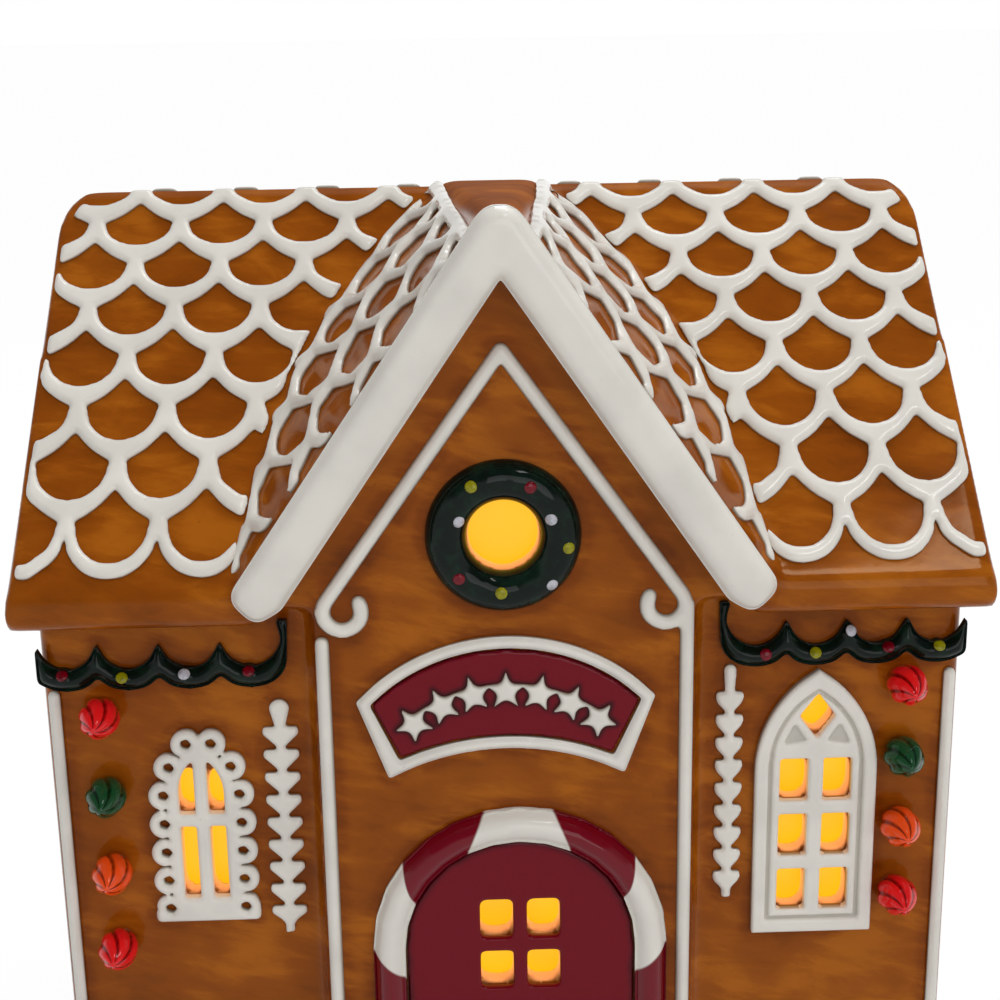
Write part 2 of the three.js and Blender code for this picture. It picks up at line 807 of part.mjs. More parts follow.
// A row of icing stars across the panel, joined where their arms meet
function signStars() {
  const radius = signTopRadius - (signTop - signBottom) / 2 - starLift;
  const centre = signTop - signTopRadius;
  const step = starPitch / radius;
  const stars = Array.from({ length: starCount }, (_, rank) => {
    const angle = (rank - (starCount - 1) / 2) * step;
    const points = [];
    for (let tip = 0; tip < 10; tip += 1) {
      const reach = tip % 2 ? starRadius * starWaist : starRadius;
      points.push(onCircle(0, 0, reach, Math.PI / 2 - angle + (tip * Math.PI) / 5));
    }
    const place = new THREE.Vector2(radius * Math.sin(angle), centre + radius * Math.cos(angle));
    return forward(points.map((point) => point.add(place)), bayFront - signRelief / 2, signRelief / 2);
  });
  return join(stars);
}

// Garland: swags with pointed peaks, its inner end hooked up behind the bargeboard
function garland(side) {
  const outer = wallLength / 2 + 0.2;
  const shift = side * garlandTilt;
  const lowest = garlandPeak - garlandSag;
  const upper = [];
  const lower = [];
  for (let swag = 0; swag < garlandSwags; swag += 1) {
    const start = outer - swag * garlandPitch;
    const middle = start - garlandPitch / 2;
    const steps = swagSteps;
    const hook = swag === garlandSwags - 1;
    for (let step = 0; step < steps + (hook ? 1 : 0); step += 1) {
      const along = (2 * step) / steps - 1;
      const lift = (1 - Math.sqrt(1 - swagRoundness * along * along)) / (1 - Math.sqrt(1 - swagRoundness));
      const x = middle - (along * garlandPitch) / 2;
      upper.push(new THREE.Vector2(x, lowest + garlandSag * lift));
      lower.push(new THREE.Vector2(x, lowest - garlandBand + (garlandSag * lift) / 2));
    }
  }
  const end = outer - garlandSwags * garlandPitch;
  const hookTop = fasciaBottom - 1;
  upper.push(new THREE.Vector2(end + 0.8, hookTop));
  lower.push(new THREE.Vector2(end - 1.2, lowest + 1.4), new THREE.Vector2(end - 1.6, hookTop));
  const band = [...upper, ...lower.reverse()].map((point) => new THREE.Vector2(point.x, point.y + shift));
  const points = side > 0 ? band : mirrored(band);
  const dots = garlandDots[side < 0 ? 0 : 1].map(([inwards, drop]) => (
    forward(dotCircle(side * (outer - inwards), garlandPeak - drop), wallFront, garlandRelief + dotRelief)));
  const swags = forward(counterclockwise(points), wallFront, garlandRelief);
  return largest(join([swags, ...dots]).intersect(bodyWidth()));
}

function counterclockwise(points) {
  return THREE.ShapeUtils.isClockWise(points) ? points.reverse() : points;
}

function bodyWidth() {
  const half = wallLength / 2;
  return box(-half, -bigSpan, 0, half, bigSpan, bigSpan);
}

// A pointed arch between a sill and an apex; its sides spring where the arch starts
function pointedArch(centre, sill, apex, half, inset = 0) {
  const width = half - inset;
  const rise = width * archAspect;
  const spring = apex - inset * Math.SQRT2 - rise;
  const radius = (rise * rise + width * width) / (2 * width);
  const sweep = Math.asin(rise / radius);
  const right = arc(centre + width - radius, spring, radius, 0, sweep, 5);
  const left = arc(centre - width + radius, spring, radius, Math.PI - sweep, Math.PI, 5).slice(1);
  return [
    new THREE.Vector2(centre - width, sill + inset),
    new THREE.Vector2(centre + width, sill + inset),
    ...right, ...left,
  ];
}

// Panes in pairs under the springing, then a diamond in the point of the arch
function gothicPanes(centre, apex, rows) {
  const panes = [];
  const top = apex - paneDrop;
  for (let row = 0; row < rows; row += 1) {
    const high = top - row * (paneHeight + paneBar);
    [-1, 1].forEach((side) => {
      const inner = centre + (side * paneBar) / 2;
      const outer = inner + side * paneWidth;
      panes.push(rectangle(Math.min(inner, outer), high - paneHeight, Math.max(inner, outer), high));
    });
  }
  const middle = top + diamondLift;
  const diamond = [[0, -1], [1, 0], [0, 1], [-1, 0]].map(([x, y]) => (
    new THREE.Vector2(centre + x * diamondHalfWidth, middle + y * diamondHalfHeight)));
  return [...panes, diamond];
}

function gothicFrame(centre, sill, apex, rows) {
  const arch = (inset) => pointedArch(centre, sill, apex, gothicHalfWidth, inset);
  const band = forward(arch(0), wallFront, frameRelief);
  const groove = forward(arch(frameBand), wallFront - frameRelief / 2, frameRelief);
  const step = forward(arch(frameBand + frameGroove), wallFront, frameRelief - frameGroove / 2);
  const panes = gothicPanes(centre, apex, rows).map((pane) => forward(pane, wallFront + 1, frameRelief + 2));
  const floor = wallFront - frameRelief / 2;
  const sunk = spandrels(centre, apex).map((pocket) => forward(pocket, floor, frameRelief));
  return cut(band.subtract(groove).add(step), [...panes, ...sunk]);
}

// Closed pockets either side of the diamond
function spandrels(centre, apex) {
  const pocket = spandrel.map(([x, y]) => new THREE.Vector2(x, apex - paneDrop + y));
  return [counterclockwise(pocket), mirrored(pocket)].map((points) => (
    points.map((point) => new THREE.Vector2(centre + point.x, point.y))));
}

function lacePanes() {
  const half = laceHalfWidth - laceBand;
  const bars = laceBar / 2;
  const apex = laceApex - laceBar;
  const top = pointedArch(laceCentre, apex - laceTopPane, apex, half);
  const lowTop = apex - laceTopPane - laceBar;
  const low = rectangle(laceCentre - half, laceSill + laceBand, laceCentre + half, lowTop);
  const mullion = forward(rectangle(laceCentre - bars, laceSill, laceCentre + bars, laceApex), 0, bigSpan);
  return [top, low].map((pane) => forward(pane, 0, bigSpan).subtract(mullion));
}

// Lace loops stand round the arched frame at an even pitch
function laceLoops() {
  const half = laceHalfWidth + laceLoopReach;
  const [left, ...rest] = pointedArch(laceCentre, laceSill, laceApex + laceLoopLift, half);
  const stops = [...rest, left].map((point) => new THREE.Vector3(point.x, point.y, 0));
  const path = new THREE.CatmullRomCurve3(stops);
  const count = Math.round(path.getLength() / laceLoopPitch);
  return path.getSpacedPoints(count).map((point) => [point.x, point.y]);
}

function laceFrame() {
  const raise = (points) => forward(points, wallFront, frameRelief);
  const frame = raise(pointedArch(laceCentre, laceSill, laceApex, laceHalfWidth));
  const loops = laceLoops();
  const rings = loops.map(([x, y]) => raise(circle(x, y, laceLoopRadius, 7)));
  const eyes = loops.map(([x, y]) => forward(circle(x, y, laceLoopHole, 5), wallFront + 1, frameRelief + 2));
  const reach = laceHalfWidth + laceSillReach;
  const sill = raise(rectangle(laceCentre - reach, laceSill - frameBand, laceCentre + reach, laceSill, 1));
  return largest(cut(join([frame, ...rings, sill]), [...eyes, ...lacePanes()]));
}

// Vine: a stem of paired leaves, each pair narrowing down to the next, under a bud
function vine(side) {
  const index = side < 0 ? 0 : 1;
  const top = garlandPeak - vineDrops[index];
  const half = (vineHalfWidths[index] * vineRoom) / vineDrawnRoom;
  const edge = [];
  for (let pair = 0; pair < vineLeafPairs; pair += 1) {
    const level = top - vineBud - pair * vineLeafPitch;
    edge.push(
      new THREE.Vector2(vineStem, level + vineTip / 2),
      new THREE.Vector2(half, level + vineTip / 2),
      new THREE.Vector2(half, level - vineTip / 2),
      new THREE.Vector2(vineStem, level - vineLeaf),
    );
  }
  const foot = top - vineBud - vineLeafPairs * vineLeafPitch;
  const bud = arc(0, top - vineBudRadii[index], vineBudRadii[index], 0, Math.PI, 5);
  const right = edge.reverse();
  const feet = [-vineStem, vineStem].map((x) => new THREE.Vector2(x, foot));
  const around = [feet[1], ...right, ...bud, ...mirrored(right), feet[0]];
  const placed = around.map((point) => new THREE.Vector2(side * vineOffset + point.x, point.y));
  return forward(placed, wallFront, lineRelief);
}

// Door under its candy-striped arch
function archOutline(radius, foot) {
  const centre = archHeight - archRadius;
  return [
    new THREE.Vector2(archShift - radius, foot),
    new THREE.Vector2(archShift + radius, foot),
    ...arc(archShift, centre, radius, 0, Math.PI, 14),
  ];
}

function candyArch() {
  const foot = footHeight + 0.5;
  const body = softRelief(archOutline(archRadius, foot), bayFront, archRelief, 1.5);
  return body.subtract(forward(archOutline(archRadius - archBand, -1), bayFront + 1, bigSpan));
}

function doorPanes() {
  const centre = archHeight - archRadius;
  const bar = paneBar / 2;
  return [[-1, 0], [1, 0], [-1, 1], [1, 1]].map(([side, row]) => {
    const x0 = archShift + (side < 0 ? -bar - doorWindowWidth : bar);
    const y0 = centre - doorWindowHeight - bar + row * (doorWindowHeight + paneBar);
    return rectangle(x0, y0, x0 + doorWindowWidth, y0 + doorWindowHeight);
  });
}

function doorPanel() {
  const width = archRadius - archBand - seatGap;
  const slab = forward(archOutline(width, footHeight + 0.5), bayFront, doorRelief);
  const sunk = [-1, 1].map((side) => {
    const near = archShift + (side * doorStile) / 2;
    const far = archShift + side * (width - doorStile);
    const high = archHeight - doorPanelDrop;
    const panel = rectangle(Math.min(near, far), doorPanelFoot, Math.max(near, far), high, 2);
    return forward(panel, bayFront - doorRelief / 2, bigSpan);
  });
  return cut(slab, [...sunk, ...doorPanes().map((pane) => forward(pane, bayFront + 1, bigSpan))]);
}

// Openings through the shell
function frontOpenings() {
  const depth = bayProjection + 2 * wallThickness;
  const through = (points) => forward(points, wallFront + wallThickness + 1, depth);
  return [
    through(circle(0, wreathHeight, wreathRadius - wreathThickness - 0.2, 18)),
    ...lacePanes().map((pane) => pane.intersect(box(-bigSpan, wallFront - 3, 0, 0, 0, bigSpan))),
    ...gothicPanes(gothicCentre, gothicApex, gothicPaneRows).map(through),
    ...doorPanes().map(through),
  ];
}

function sidePlace(side) {
  const quarter = new THREE.Matrix4().makeRotationZ((side * Math.PI) / 2);
  const away = side * (wallLength / 2 + wallFront);
  return new THREE.Matrix4().makeTranslation(away, 0, 0).multiply(quarter);
}

function sideOpenings() {
  return [-1, 1].flatMap((side) => gothicPanes(0, sideApex, sidePaneRows).map((pane) => (
    forward(pane, wallFront + wallThickness + 1, wallThickness + 3).transform(sidePlace(side).elements))));
}

function sideFrame(side) {
  return gothicFrame(0, sideSill, sideApex, sidePaneRows).transform(sidePlace(side).elements);
}

// Bulbs: a stem through the wall and a twisted flame
function bulbPlaces() {
  return [-1, 1].flatMap((side, index) => Array.from({ length: bulbCount }, (_, rank) => ({
    name: `bulb_${side < 0 ? 'left' : 'right'}_${rank + 1}`,
    x: side * bulbOffset,
    z: garlandPeak - bulbDrops[index] - bulbPitches[index] * rank,
  })));
}

function bulbHoles() {
  return bulbPlaces().map(({ x, z }) => (
    forward(circle(x, z, stemHoleRadius, 6), wallFront + wallThickness + 1, 2 * wallThickness)));
}

function bulb(x, z) {
  const lobes = 4;
  const profile = [
    [0, -wallThickness - stemReach], [stemRadius, -wallThickness - stemReach], [stemRadius, seatGap],
    [bulbRadius, bulbBelly], [bulbRadius * 0.86, bulbShoulder],
    [bulbRadius / 2, bulbLength - bulbTip], [0, bulbLength],
  ].map(([radius, height]) => new THREE.Vector2(radius, height));
  const flame = new THREE.LatheGeometry(profile, 2 * lobes);
  const place = flame.attributes.position;
  for (let index = 0; index < place.count; index += 1) {
    const height = place.getY(index);
    if (height < 1) continue;
    const sector = Math.round(Math.atan2(place.getX(index), place.getZ(index)) / (Math.PI / lobes));
    const radius = Math.hypot(place.getX(index), place.getZ(index)) * (sector % 2 ? bulbFlute : 1);
    const angle = sector * (Math.PI / lobes) + bulbTwist * (height - 1);
    place.setXYZ(index, radius * Math.sin(angle), height, radius * Math.cos(angle));
  }
  return solid(flame.rotateX(Math.PI).translate(x, wallFront, z));
}

// Amber films behind the openings
function film(x0, z0, x1, z1, back) {
  return box(x0, back, z0, x1, back + filmThickness, z1);
}

function sideFilm(side) {
  const half = gothicHalfWidth;
  const sheet = film(-half, sideSill, half, sideApex, wallFront + wallThickness);
  return sheet.transform(sidePlace(side).elements);
}

// Base tray: a floor plugged into the shell, with an upstanding rim and a box for the cells
function trayPlan(inset) {
  const halfX = wallLength / 2 - wallThickness - inset;
  const backY = -wallFront - wallThickness - inset;
  const bayX = bayWidth / 2 - wallThickness - inset;
  const bayY = bayFront + wallThickness + inset;
  return outline([
    [-halfX, -backY], [-bayX, -backY], [-bayX, bayY], [bayX, bayY], [bayX, -backY], [halfX, -backY],
    [halfX, backY], [-halfX, backY],
  ]);
}

function baseTray() {
  const skin = traySkin;
  const tub = upright(trayPlan(trayClearance), trayBottom, trayBottom + trayRim)
    .subtract(upright(trayPlan(trayClearance + skin), trayTop, trayBottom + trayRim + 1));
  const outerX = cellBoxHalfX + skin;
  const outerY = cellBoxHalfY + skin;
  const cellBox = box(-outerX, -outerY, trayTop, outerX, outerY, cellBoxTop + skin);
  const boss = rod(0, screwY, trayTop - 1, trayTop + bossHeight, bossRadius);
  const pocket = box(-cellBoxHalfX, -cellBoxHalfY, trayBottom - 1, cellBoxHalfX, cellBoxHalfY, cellBoxTop);
  const tabX = screwTab / 2 + 1;
  const tabTop = trayBottom + doorThickness + hingeLift;
  const tab = box(-tabX, -cellBoxHalfY - screwTab, trayBottom - 1, tabX, 0, tabTop);
  const knob = knobRoom(trayBottom - 1, trayTop + 1);
  const screwHole = rod(0, screwY, trayBottom, trayTop + bossHeight + 1, screwHoleRadius, 10);
  return cut(join([tub, cellBox, boss]), [pocket, tab, knob, screwHole, ...hingeSeats()]);
}

function hingeSeats() {
  const room = hingeRadius + doorClearance;
  return [-1, 1].flatMap((side) => {
    const middle = side * (cellBoxHalfX - hingeBarrel);
    const half = hingeBarrel / 2 + doorClearance;
    const pin = half + hingePinReach;
    return [
      box(middle - half, cellBoxHalfY - 1, trayBottom - 1, middle + half, hingeY + room, hingeZ + room),
      alongX(circle(hingeY, hingeZ, hingePin + pinClearance, 8), middle - pin, middle + pin),
    ];
  });
}

function batteryDoor() {
  const leafX = cellBoxHalfX - doorClearance;
  const leafY = cellBoxHalfY - doorClearance;
  const top = trayBottom + doorThickness;
  const leaf = box(-leafX, -leafY, trayBottom, leafX, leafY, top);
  const tabHalf = screwTab / 2;
  const tab = box(-tabHalf, -cellBoxHalfY - screwTab + 1, trayBottom, tabHalf, 1 - cellBoxHalfY, top);
  const barrels = [-1, 1].flatMap((side) => {
    const middle = side * (cellBoxHalfX - hingeBarrel);
    const half = hingeBarrel / 2;
    const pin = half + hingePinReach;
    return [
      alongX(circle(hingeY, hingeZ, hingeRadius, 10), middle - half, middle + half),
      alongX(circle(hingeY, hingeZ, hingePin, 6), middle - pin, middle + pin),
      box(middle - half, cellBoxHalfY - 1, trayBottom, middle + half, hingeY, top),
    ];
  });
  const holes = [
    rod(0, screwY, trayBottom - 1, top + 1, screwRadius + screwClearance, 10),
    rod(0, screwY, trayBottom - 1, trayBottom + screwHeadHeight, screwHeadRadius + screwClearance),
  ];
  return cut(join([leaf, tab, ...barrels]), holes);
}

function doorScrew() {
  const headTop = trayBottom + screwHeadHeight - screwSeat / 2;
  const head = rod(0, screwY, trayBottom + screwSeat, headTop, screwHeadRadius);
  const shank = rod(0, screwY, trayBottom + screwSeat, trayBottom + screwLength, screwRadius, 10);
  const slotX = screwHeadRadius + 1;
  const slotY = screwSlot / 2;
  const slotTop = trayBottom + screwHeadHeight / 2;
  const slot = box(-slotX, screwY - slotY, trayBottom - 1, slotX, screwY + slotY, slotTop);
  return head.add(shank).subtract(slot);
}

function cellPlace(rank) {
  return (rank - (cellCount - 1) / 2) * cellPitch;
}

function cell(rank) {
  const forwardCell = rank % 2 === 0 ? 1 : -1;
  const radius = cellDiameter / 2;
  const half = cellLength / 2;
  const profile = [
    [0, -half], [radius - cellEdge, -half], [radius, -half + cellEdge],
    [radius, half - cellEdge], [radius - cellEdge, half],
    [cellNubRadius, half], [cellNubRadius, half + cellNub], [0, half + cellNub],
  ].map(([r, h]) => new THREE.Vector2(r, h));
  const shift = cellBoxHalfX - contactThickness - seatGap - half - cellNub;
  const body = new THREE.LatheGeometry(profile, 10).rotateZ((-forwardCell * Math.PI) / 2);
  return solid(body.translate(forwardCell * shift, cellPlace(rank), cellHeight));
}

// Contacts: a flat plate for a positive end, and a bowed leaf for a negative one
function contact(ends, side) {
  const half = contactSize / 2;
  const wall = side * cellBoxHalfX;
  const face = wall - side * contactThickness;
  const low = Math.min(...ends.map(({ rank }) => cellPlace(rank))) - half;
  const high = Math.max(...ends.map(({ rank }) => cellPlace(rank))) + half;
  const [near, far] = [Math.min(wall, face), Math.max(wall, face)];
  const back = box(near, low, cellHeight - half, far, high, cellHeight + half);
  const springs = ends.filter(({ negative }) => negative);
  const leaves = springs.map(({ rank }) => leafSpring(side, face, cellPlace(rank)));
  return join([back, ...leaves]);
}

function leafSpring(side, face, y) {
  const reach = cellBoxLength - 2 * contactThickness - cellLength - cellNub - 2 * seatGap;
  const path = leafBow.map(([rise, bow]) => (
    new THREE.Vector2(face + side * (bow ? -reach * bow : leafSeat), cellHeight + rise)));
  return forward(counterclockwise(ribbon(path, contactThickness, 2)), y + leafWidth / 2, leafWidth);
}

// Switch, light and leads
function switchBody() {
  const [length, width, height] = switchSize;
  const middle = switchPlace + switchTravel / 2;
  const base = trayTop;
  const body = box(middle - length / 2, -width / 2, base, middle + length / 2, width / 2, base + height);
  return body.subtract(knobRoom(base - 1, base + knobDepth));
}

// The slot that the switch knob slides in
function knobRoom(low, high) {
  const halfX = knobSize[0] / 2 + doorClearance;
  const halfY = knobSize[1] / 2 + doorClearance;
  return box(switchPlace - halfX, -halfY, low, switchPlace + halfX + switchTravel, halfY, high);
}

function switchKnob() {
  const half = knobSize[0] / 2;
  const depth = knobSize[1] / 2;
  const tip = trayBottom - knobReach;
  const stem = box(switchPlace - half, -depth, tip, switchPlace + half, depth, trayTop + knobDepth - seatGap);
  const grips = [-1, 0, 1].map((rank) => {
    const x = switchPlace + rank * gripPitch;
    return box(x - gripWidth / 2, -depth - 1, tip - 1, x + gripWidth / 2, depth + 1, tip + gripWidth);
  });
  return cut(stem, grips);
}

function lightPost() {
  const radius = postRadius;
  const [flange, edge, flare] = postFlange;
  const profile = [
    [0, postBottom], [radius + flange, postBottom], [radius + flange, postBottom + edge],
    [radius, postBottom + flare], [radius - postTaper, boardBottom], [0, boardBottom],
  ].map(([r, h]) => new THREE.Vector2(r, h));
  return solid(new THREE.LatheGeometry(profile, 12).rotateX(Math.PI / 2));
}

function ledBoard() {
  return rod(0, 0, boardBottom, boardBottom + boardThickness, boardRadius, 16);
}

function ledLens() {
  const base = boardBottom + boardThickness;
  const dome = arc(0, lensSkirt, lensRadius, 0, Math.PI / 2, lensSteps);
  dome.at(-1).x = 0;
  const profile = [new THREE.Vector2(0, 0), new THREE.Vector2(lensRadius, 0), ...dome];
  return solid(new THREE.LatheGeometry(profile, 10).rotateX(Math.PI / 2).translate(0, 0, base));
}

function lead(start, offset) {
  const away = postRadius + leadRadius + leadRoom;
  const path = new THREE.CatmullRomCurve3([
    start,
    start.clone().add(new THREE.Vector3(0, 0, leadRise)),
    new THREE.Vector3((start.x + away) / 2, offset, postBottom + leadRise),
    new THREE.Vector3(away + leadBow, offset, postBottom + leadBowHeight),
    new THREE.Vector3(away, offset, boardBottom - leadTopRoom),
    new THREE.Vector3(away - 1, offset, boardBottom - seatGap),
  ]);
  const section = new THREE.Shape(circle(0, 0, leadRadius, 4));
  return solid(new THREE.ExtrudeGeometry(section, { steps: leadSteps, extrudePath: path }));
}

// The whole object
const house = new THREE.Group();
house.name = 'gingerbread_shop';
house.position.y = (roofRun + bargeFront) / -2;

function add(name, body, color, roughness, metalness = 0) {
  const material = new THREE.MeshStandardMaterial({ color, roughness, metalness });
  const mesh = new THREE.Mesh(toGeometry(body), material);
  mesh.name = name;
  house.add(mesh);
}

const glaze = '#8c4b12';
const icing = '#cdcbc4';
const pine = '#0f1e16';
const crimson = '#730019';
const amber = '#ffc319';

add('house_shell', houseShell(), glaze, 0.2);
add('roof_icing_front_left', frontIcing(-1), icing, 0.2);
add('roof_icing_front_right', frontIcing(1), icing, 0.2);
add('roof_icing_back', backIcing(), icing, 0.2);
add('gable_roof_icing_left', gableSlopeIcing(-1), icing, 0.2);
add('gable_roof_icing_right', gableSlopeIcing(1), icing, 0.2);
add('bargeboard_icing', bargeboard(), icing, 0.2);
add('gable_icing', gableIcing(), icing, 0.2);
add('bay_icing_left', bayLine(), icing, 0.2);
add('corner_icing_left', cornerLine(-1), icing, 0.2);
add('corner_icing_right', cornerLine(1), icing, 0.2);
add('wreath', wreath(), pine, 0.2);
add('sign_border', signFrame(), icing, 0.2);
add('sign_panel', signPanel(), crimson, 0.2);
add('sign_stars', signStars(), icing, 0.2);
add('garland_left', garland(-1), pine, 0.2);
add('garland_right', garland(1), pine, 0.2);
add('lace_window_frame', laceFrame(), icing, 0.2);
add('gothic_window_frame', gothicFrame(gothicCentre, gothicSill, gothicApex, gothicPaneRows), icing, 0.2);
add('side_window_frame_left', sideFrame(-1), icing, 0.2);
add('side_window_frame_right', sideFrame(1), icing, 0.2);
add('vine_left', vine(-1), icing, 0.2);
add('vine_right', vine(1), icing, 0.2);
add('candy_arch', candyArch(), icing, 0.2);
add('door_panel', doorPanel(), crimson, 0.2);

const bulbColors = ['#c8141e', '#0f5a28', '#e65a0a', '#c8141e'];
bulbPlaces().forEach(({ name, x, z }, index) => {
  add(name, bulb(x, z), bulbColors[index % bulbCount], 0.1);
});

const frontFilm = wallFront + wallThickness;
const bayFilm = bayFront + wallThickness;
const laceReach = laceHalfWidth + filmMargin;
const wreathReach = wreathRadius - wreathThickness + filmMargin;
const doorReach = doorWindowWidth + paneBar / 2 + filmMargin;
const doorMiddle = archHeight - archRadius;
const doorRise = doorWindowHeight + paneBar / 2 + filmMargin;

function filmAround(x, z, reach, rise, back) {
  return film(x - reach, z - rise, x + reach, z + rise, back);
}

const laceMiddle = (laceApex + laceSill) / 2;
const laceFilm = filmAround(laceCentre, laceMiddle, laceReach, laceHeight / 2, frontFilm);
const gothicMiddle = (gothicApex + gothicSill) / 2;
const gothicFilm = filmAround(gothicCentre, gothicMiddle, gothicHalfWidth, gothicHeight / 2, frontFilm);
add('film_lace_window', laceFilm, amber, 0.5);
add('film_gothic_window', gothicFilm, amber, 0.5);
add('film_wreath', filmAround(0, wreathHeight, wreathReach, wreathReach, bayFilm), amber, 0.5);
add('film_door', filmAround(archShift, doorMiddle, doorReach, doorRise, bayFilm), amber, 0.5);
add('film_side_left', sideFilm(-1), amber, 0.5);
add('film_side_right', sideFilm(1), amber, 0.5);

add('base_tray', baseTray(), '#e6e4de', 0.6);
add('battery_door', batteryDoor(), '#e6e4de', 0.6);
add('door_screw', doorScrew(), '#b4b6b8', 0.3, 1);
for (let rank = 0; rank < cellCount; rank += 1) {
  add(`cell_${rank + 1}`, cell(rank), '#3c3f44', 0.4, 0.3);
}
const nickel = '#c8c6be';
const plus = (rank) => ({ rank, negative: false });
const minus = (rank) => ({ rank, negative: true });
add('contact_positive', contact([plus(0)], 1), nickel, 0.3, 1);
add('contact_bridge_right', contact([minus(1), plus(2)], 1), nickel, 0.3, 1);
add('contact_bridge_left', contact([minus(0), plus(1)], -1), nickel, 0.3, 1);
add('contact_negative', contact([minus(2)], -1), nickel, 0.3, 1);
add('switch_body', switchBody(), '#1c1c1e', 0.5);
add('switch_knob', switchKnob(), '#1c1c1e', 0.5);
add('light_post', lightPost(), '#e6e4de', 0.6);
add('led_board', ledBoard(), '#e8e8e4', 0.5);
add('led_lens', ledLens(), '#fff0c8', 0.2);
[['red', 1, '#b01818'], ['black', -1, '#18181a']].forEach(([name, side, color]) => {
  const y = side * leadSpread;
  const start = new THREE.Vector3(switchPlace, y, trayTop + switchSize[2] + seatGap);
  add(`lead_${name}`, lead(start, y), color, 0.5);
});

['left', 'right'].forEach((side, column) => {
  ['front', 'back'].forEach((end, row) => {
    const inset = (wallThickness + seatGap) / 2;
    const x = (2 * column - 1) * (wallLength / 2 - inset);
    const y = (2 * row - 1) * (wallDepth / 2 - inset);
    add(`foot_${end}_${side}`, rod(x, y, 0, footHeight, footRadius, 10), '#d8d8d6', 0.8);
  });
});

export default house;
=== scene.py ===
"""Dresses the light-up gingerbread shop: glazes, piped icing, coloured bulbs and a lit studio stage."""

import math

import bmesh
import bpy
from bpy.props import FloatProperty, FloatVectorProperty, IntProperty, PointerProperty
from mathutils import Matrix, Vector
from mathutils.bvhtree import BVHTree
from mathutils.kdtree import KDTree


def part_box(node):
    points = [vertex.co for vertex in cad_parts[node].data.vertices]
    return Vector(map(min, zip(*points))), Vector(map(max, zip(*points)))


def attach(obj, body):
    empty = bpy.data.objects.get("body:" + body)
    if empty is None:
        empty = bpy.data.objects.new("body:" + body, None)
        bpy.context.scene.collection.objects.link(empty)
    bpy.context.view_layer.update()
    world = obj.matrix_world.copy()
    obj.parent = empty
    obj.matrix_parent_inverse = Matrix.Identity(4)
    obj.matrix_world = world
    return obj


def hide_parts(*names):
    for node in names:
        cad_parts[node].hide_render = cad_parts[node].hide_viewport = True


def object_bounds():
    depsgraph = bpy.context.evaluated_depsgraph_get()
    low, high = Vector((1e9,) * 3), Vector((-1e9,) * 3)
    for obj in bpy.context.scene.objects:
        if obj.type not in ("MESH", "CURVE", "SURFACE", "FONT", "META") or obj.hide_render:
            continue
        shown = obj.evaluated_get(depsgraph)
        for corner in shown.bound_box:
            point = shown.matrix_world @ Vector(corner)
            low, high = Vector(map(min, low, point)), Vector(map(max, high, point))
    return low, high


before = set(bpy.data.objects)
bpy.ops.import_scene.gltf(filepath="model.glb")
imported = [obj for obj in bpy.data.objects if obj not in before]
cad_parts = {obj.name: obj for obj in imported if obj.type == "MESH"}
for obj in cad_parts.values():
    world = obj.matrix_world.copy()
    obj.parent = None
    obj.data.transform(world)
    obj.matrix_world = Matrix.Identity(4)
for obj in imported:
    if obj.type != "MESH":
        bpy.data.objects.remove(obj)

bl_info = {
    "name": "Light-up gingerbread shop",
    "version": (1, 0, 0),
    "blender": (4, 5, 0),
    "location": "3D View > Sidebar > Shop",
    "description": "Builds the glazed pieces of the gingerbread shop over its CAD frame",
    "category": "Object",
}

MM = 0.001
FORWARD = Vector((0, -1, 0))
UPWARD = Vector((0, 0, 1))
CAD_BOX = [list(corner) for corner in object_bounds()]

BACK_COARSENESS = 1.25
# Mesh size of the bargeboard, the sign's panel and the door
PLATE_GRAIN = 0.6 * MM
# How far a relief is looked for from a point of the casting
REACH = 12 * MM
# Heights in metres: along the crest the gloss fades between the first two, and the hollow ends at the third
CREST_FADE = (0.2245, 0.2268)
HOLLOW_TOP = 0.226
# The gable nets are softened more above this height, where they bend over the crest
CREST_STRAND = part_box("gable_roof_icing_left")[1].z - 7 * MM
# How far the brown glaze lightens from its pools and from the shade painted beside the reliefs: its most on the
# roof, its least on the walls
ROOF_POOL_AND_SHADE = 0.62
WALL_POOL_AND_SHADE = 0.35
# Cosines between a normal and a relief's own direction: over LEVEL a face is level, under FLANK a point
# stands on a flank, and over OUTWARD it faces outwards. ROOF_LEAN is the least upward share of a roof's normal.
LEVEL = 0.7
FLANK = 0.45
OUTWARD = 0.1
ROOF_LEAN = 0.35
# An outline that turns more than this keeps its corner, and each step between corners is cut this often
CUSP = math.radians(56)
CURVE_CUTS = 3
# A step of an outline this many times as long as its neighbour gives the curve its direction
UNEVEN = 2.2

SHINGLE_NETS = {
    "roof_icing_front_left": (0, -1, 1),
    "roof_icing_front_right": (0, -1, 1),
    "roof_icing_back": (0, 1, 1),
    "gable_roof_icing_left": (-1.386, 0, 1),
    "gable_roof_icing_right": (1.386, 0, 1),
}
FRONT_RELIEFS = (
    "bargeboard_icing", "gable_icing", "bay_icing_left", "corner_icing_left", "corner_icing_right", "wreath",
    "sign_border", "garland_left", "garland_right", "lace_window_frame", "gothic_window_frame", "vine_left",
    "vine_right", "candy_arch", "door_panel", "side_window_frame_left", "side_window_frame_right",
)

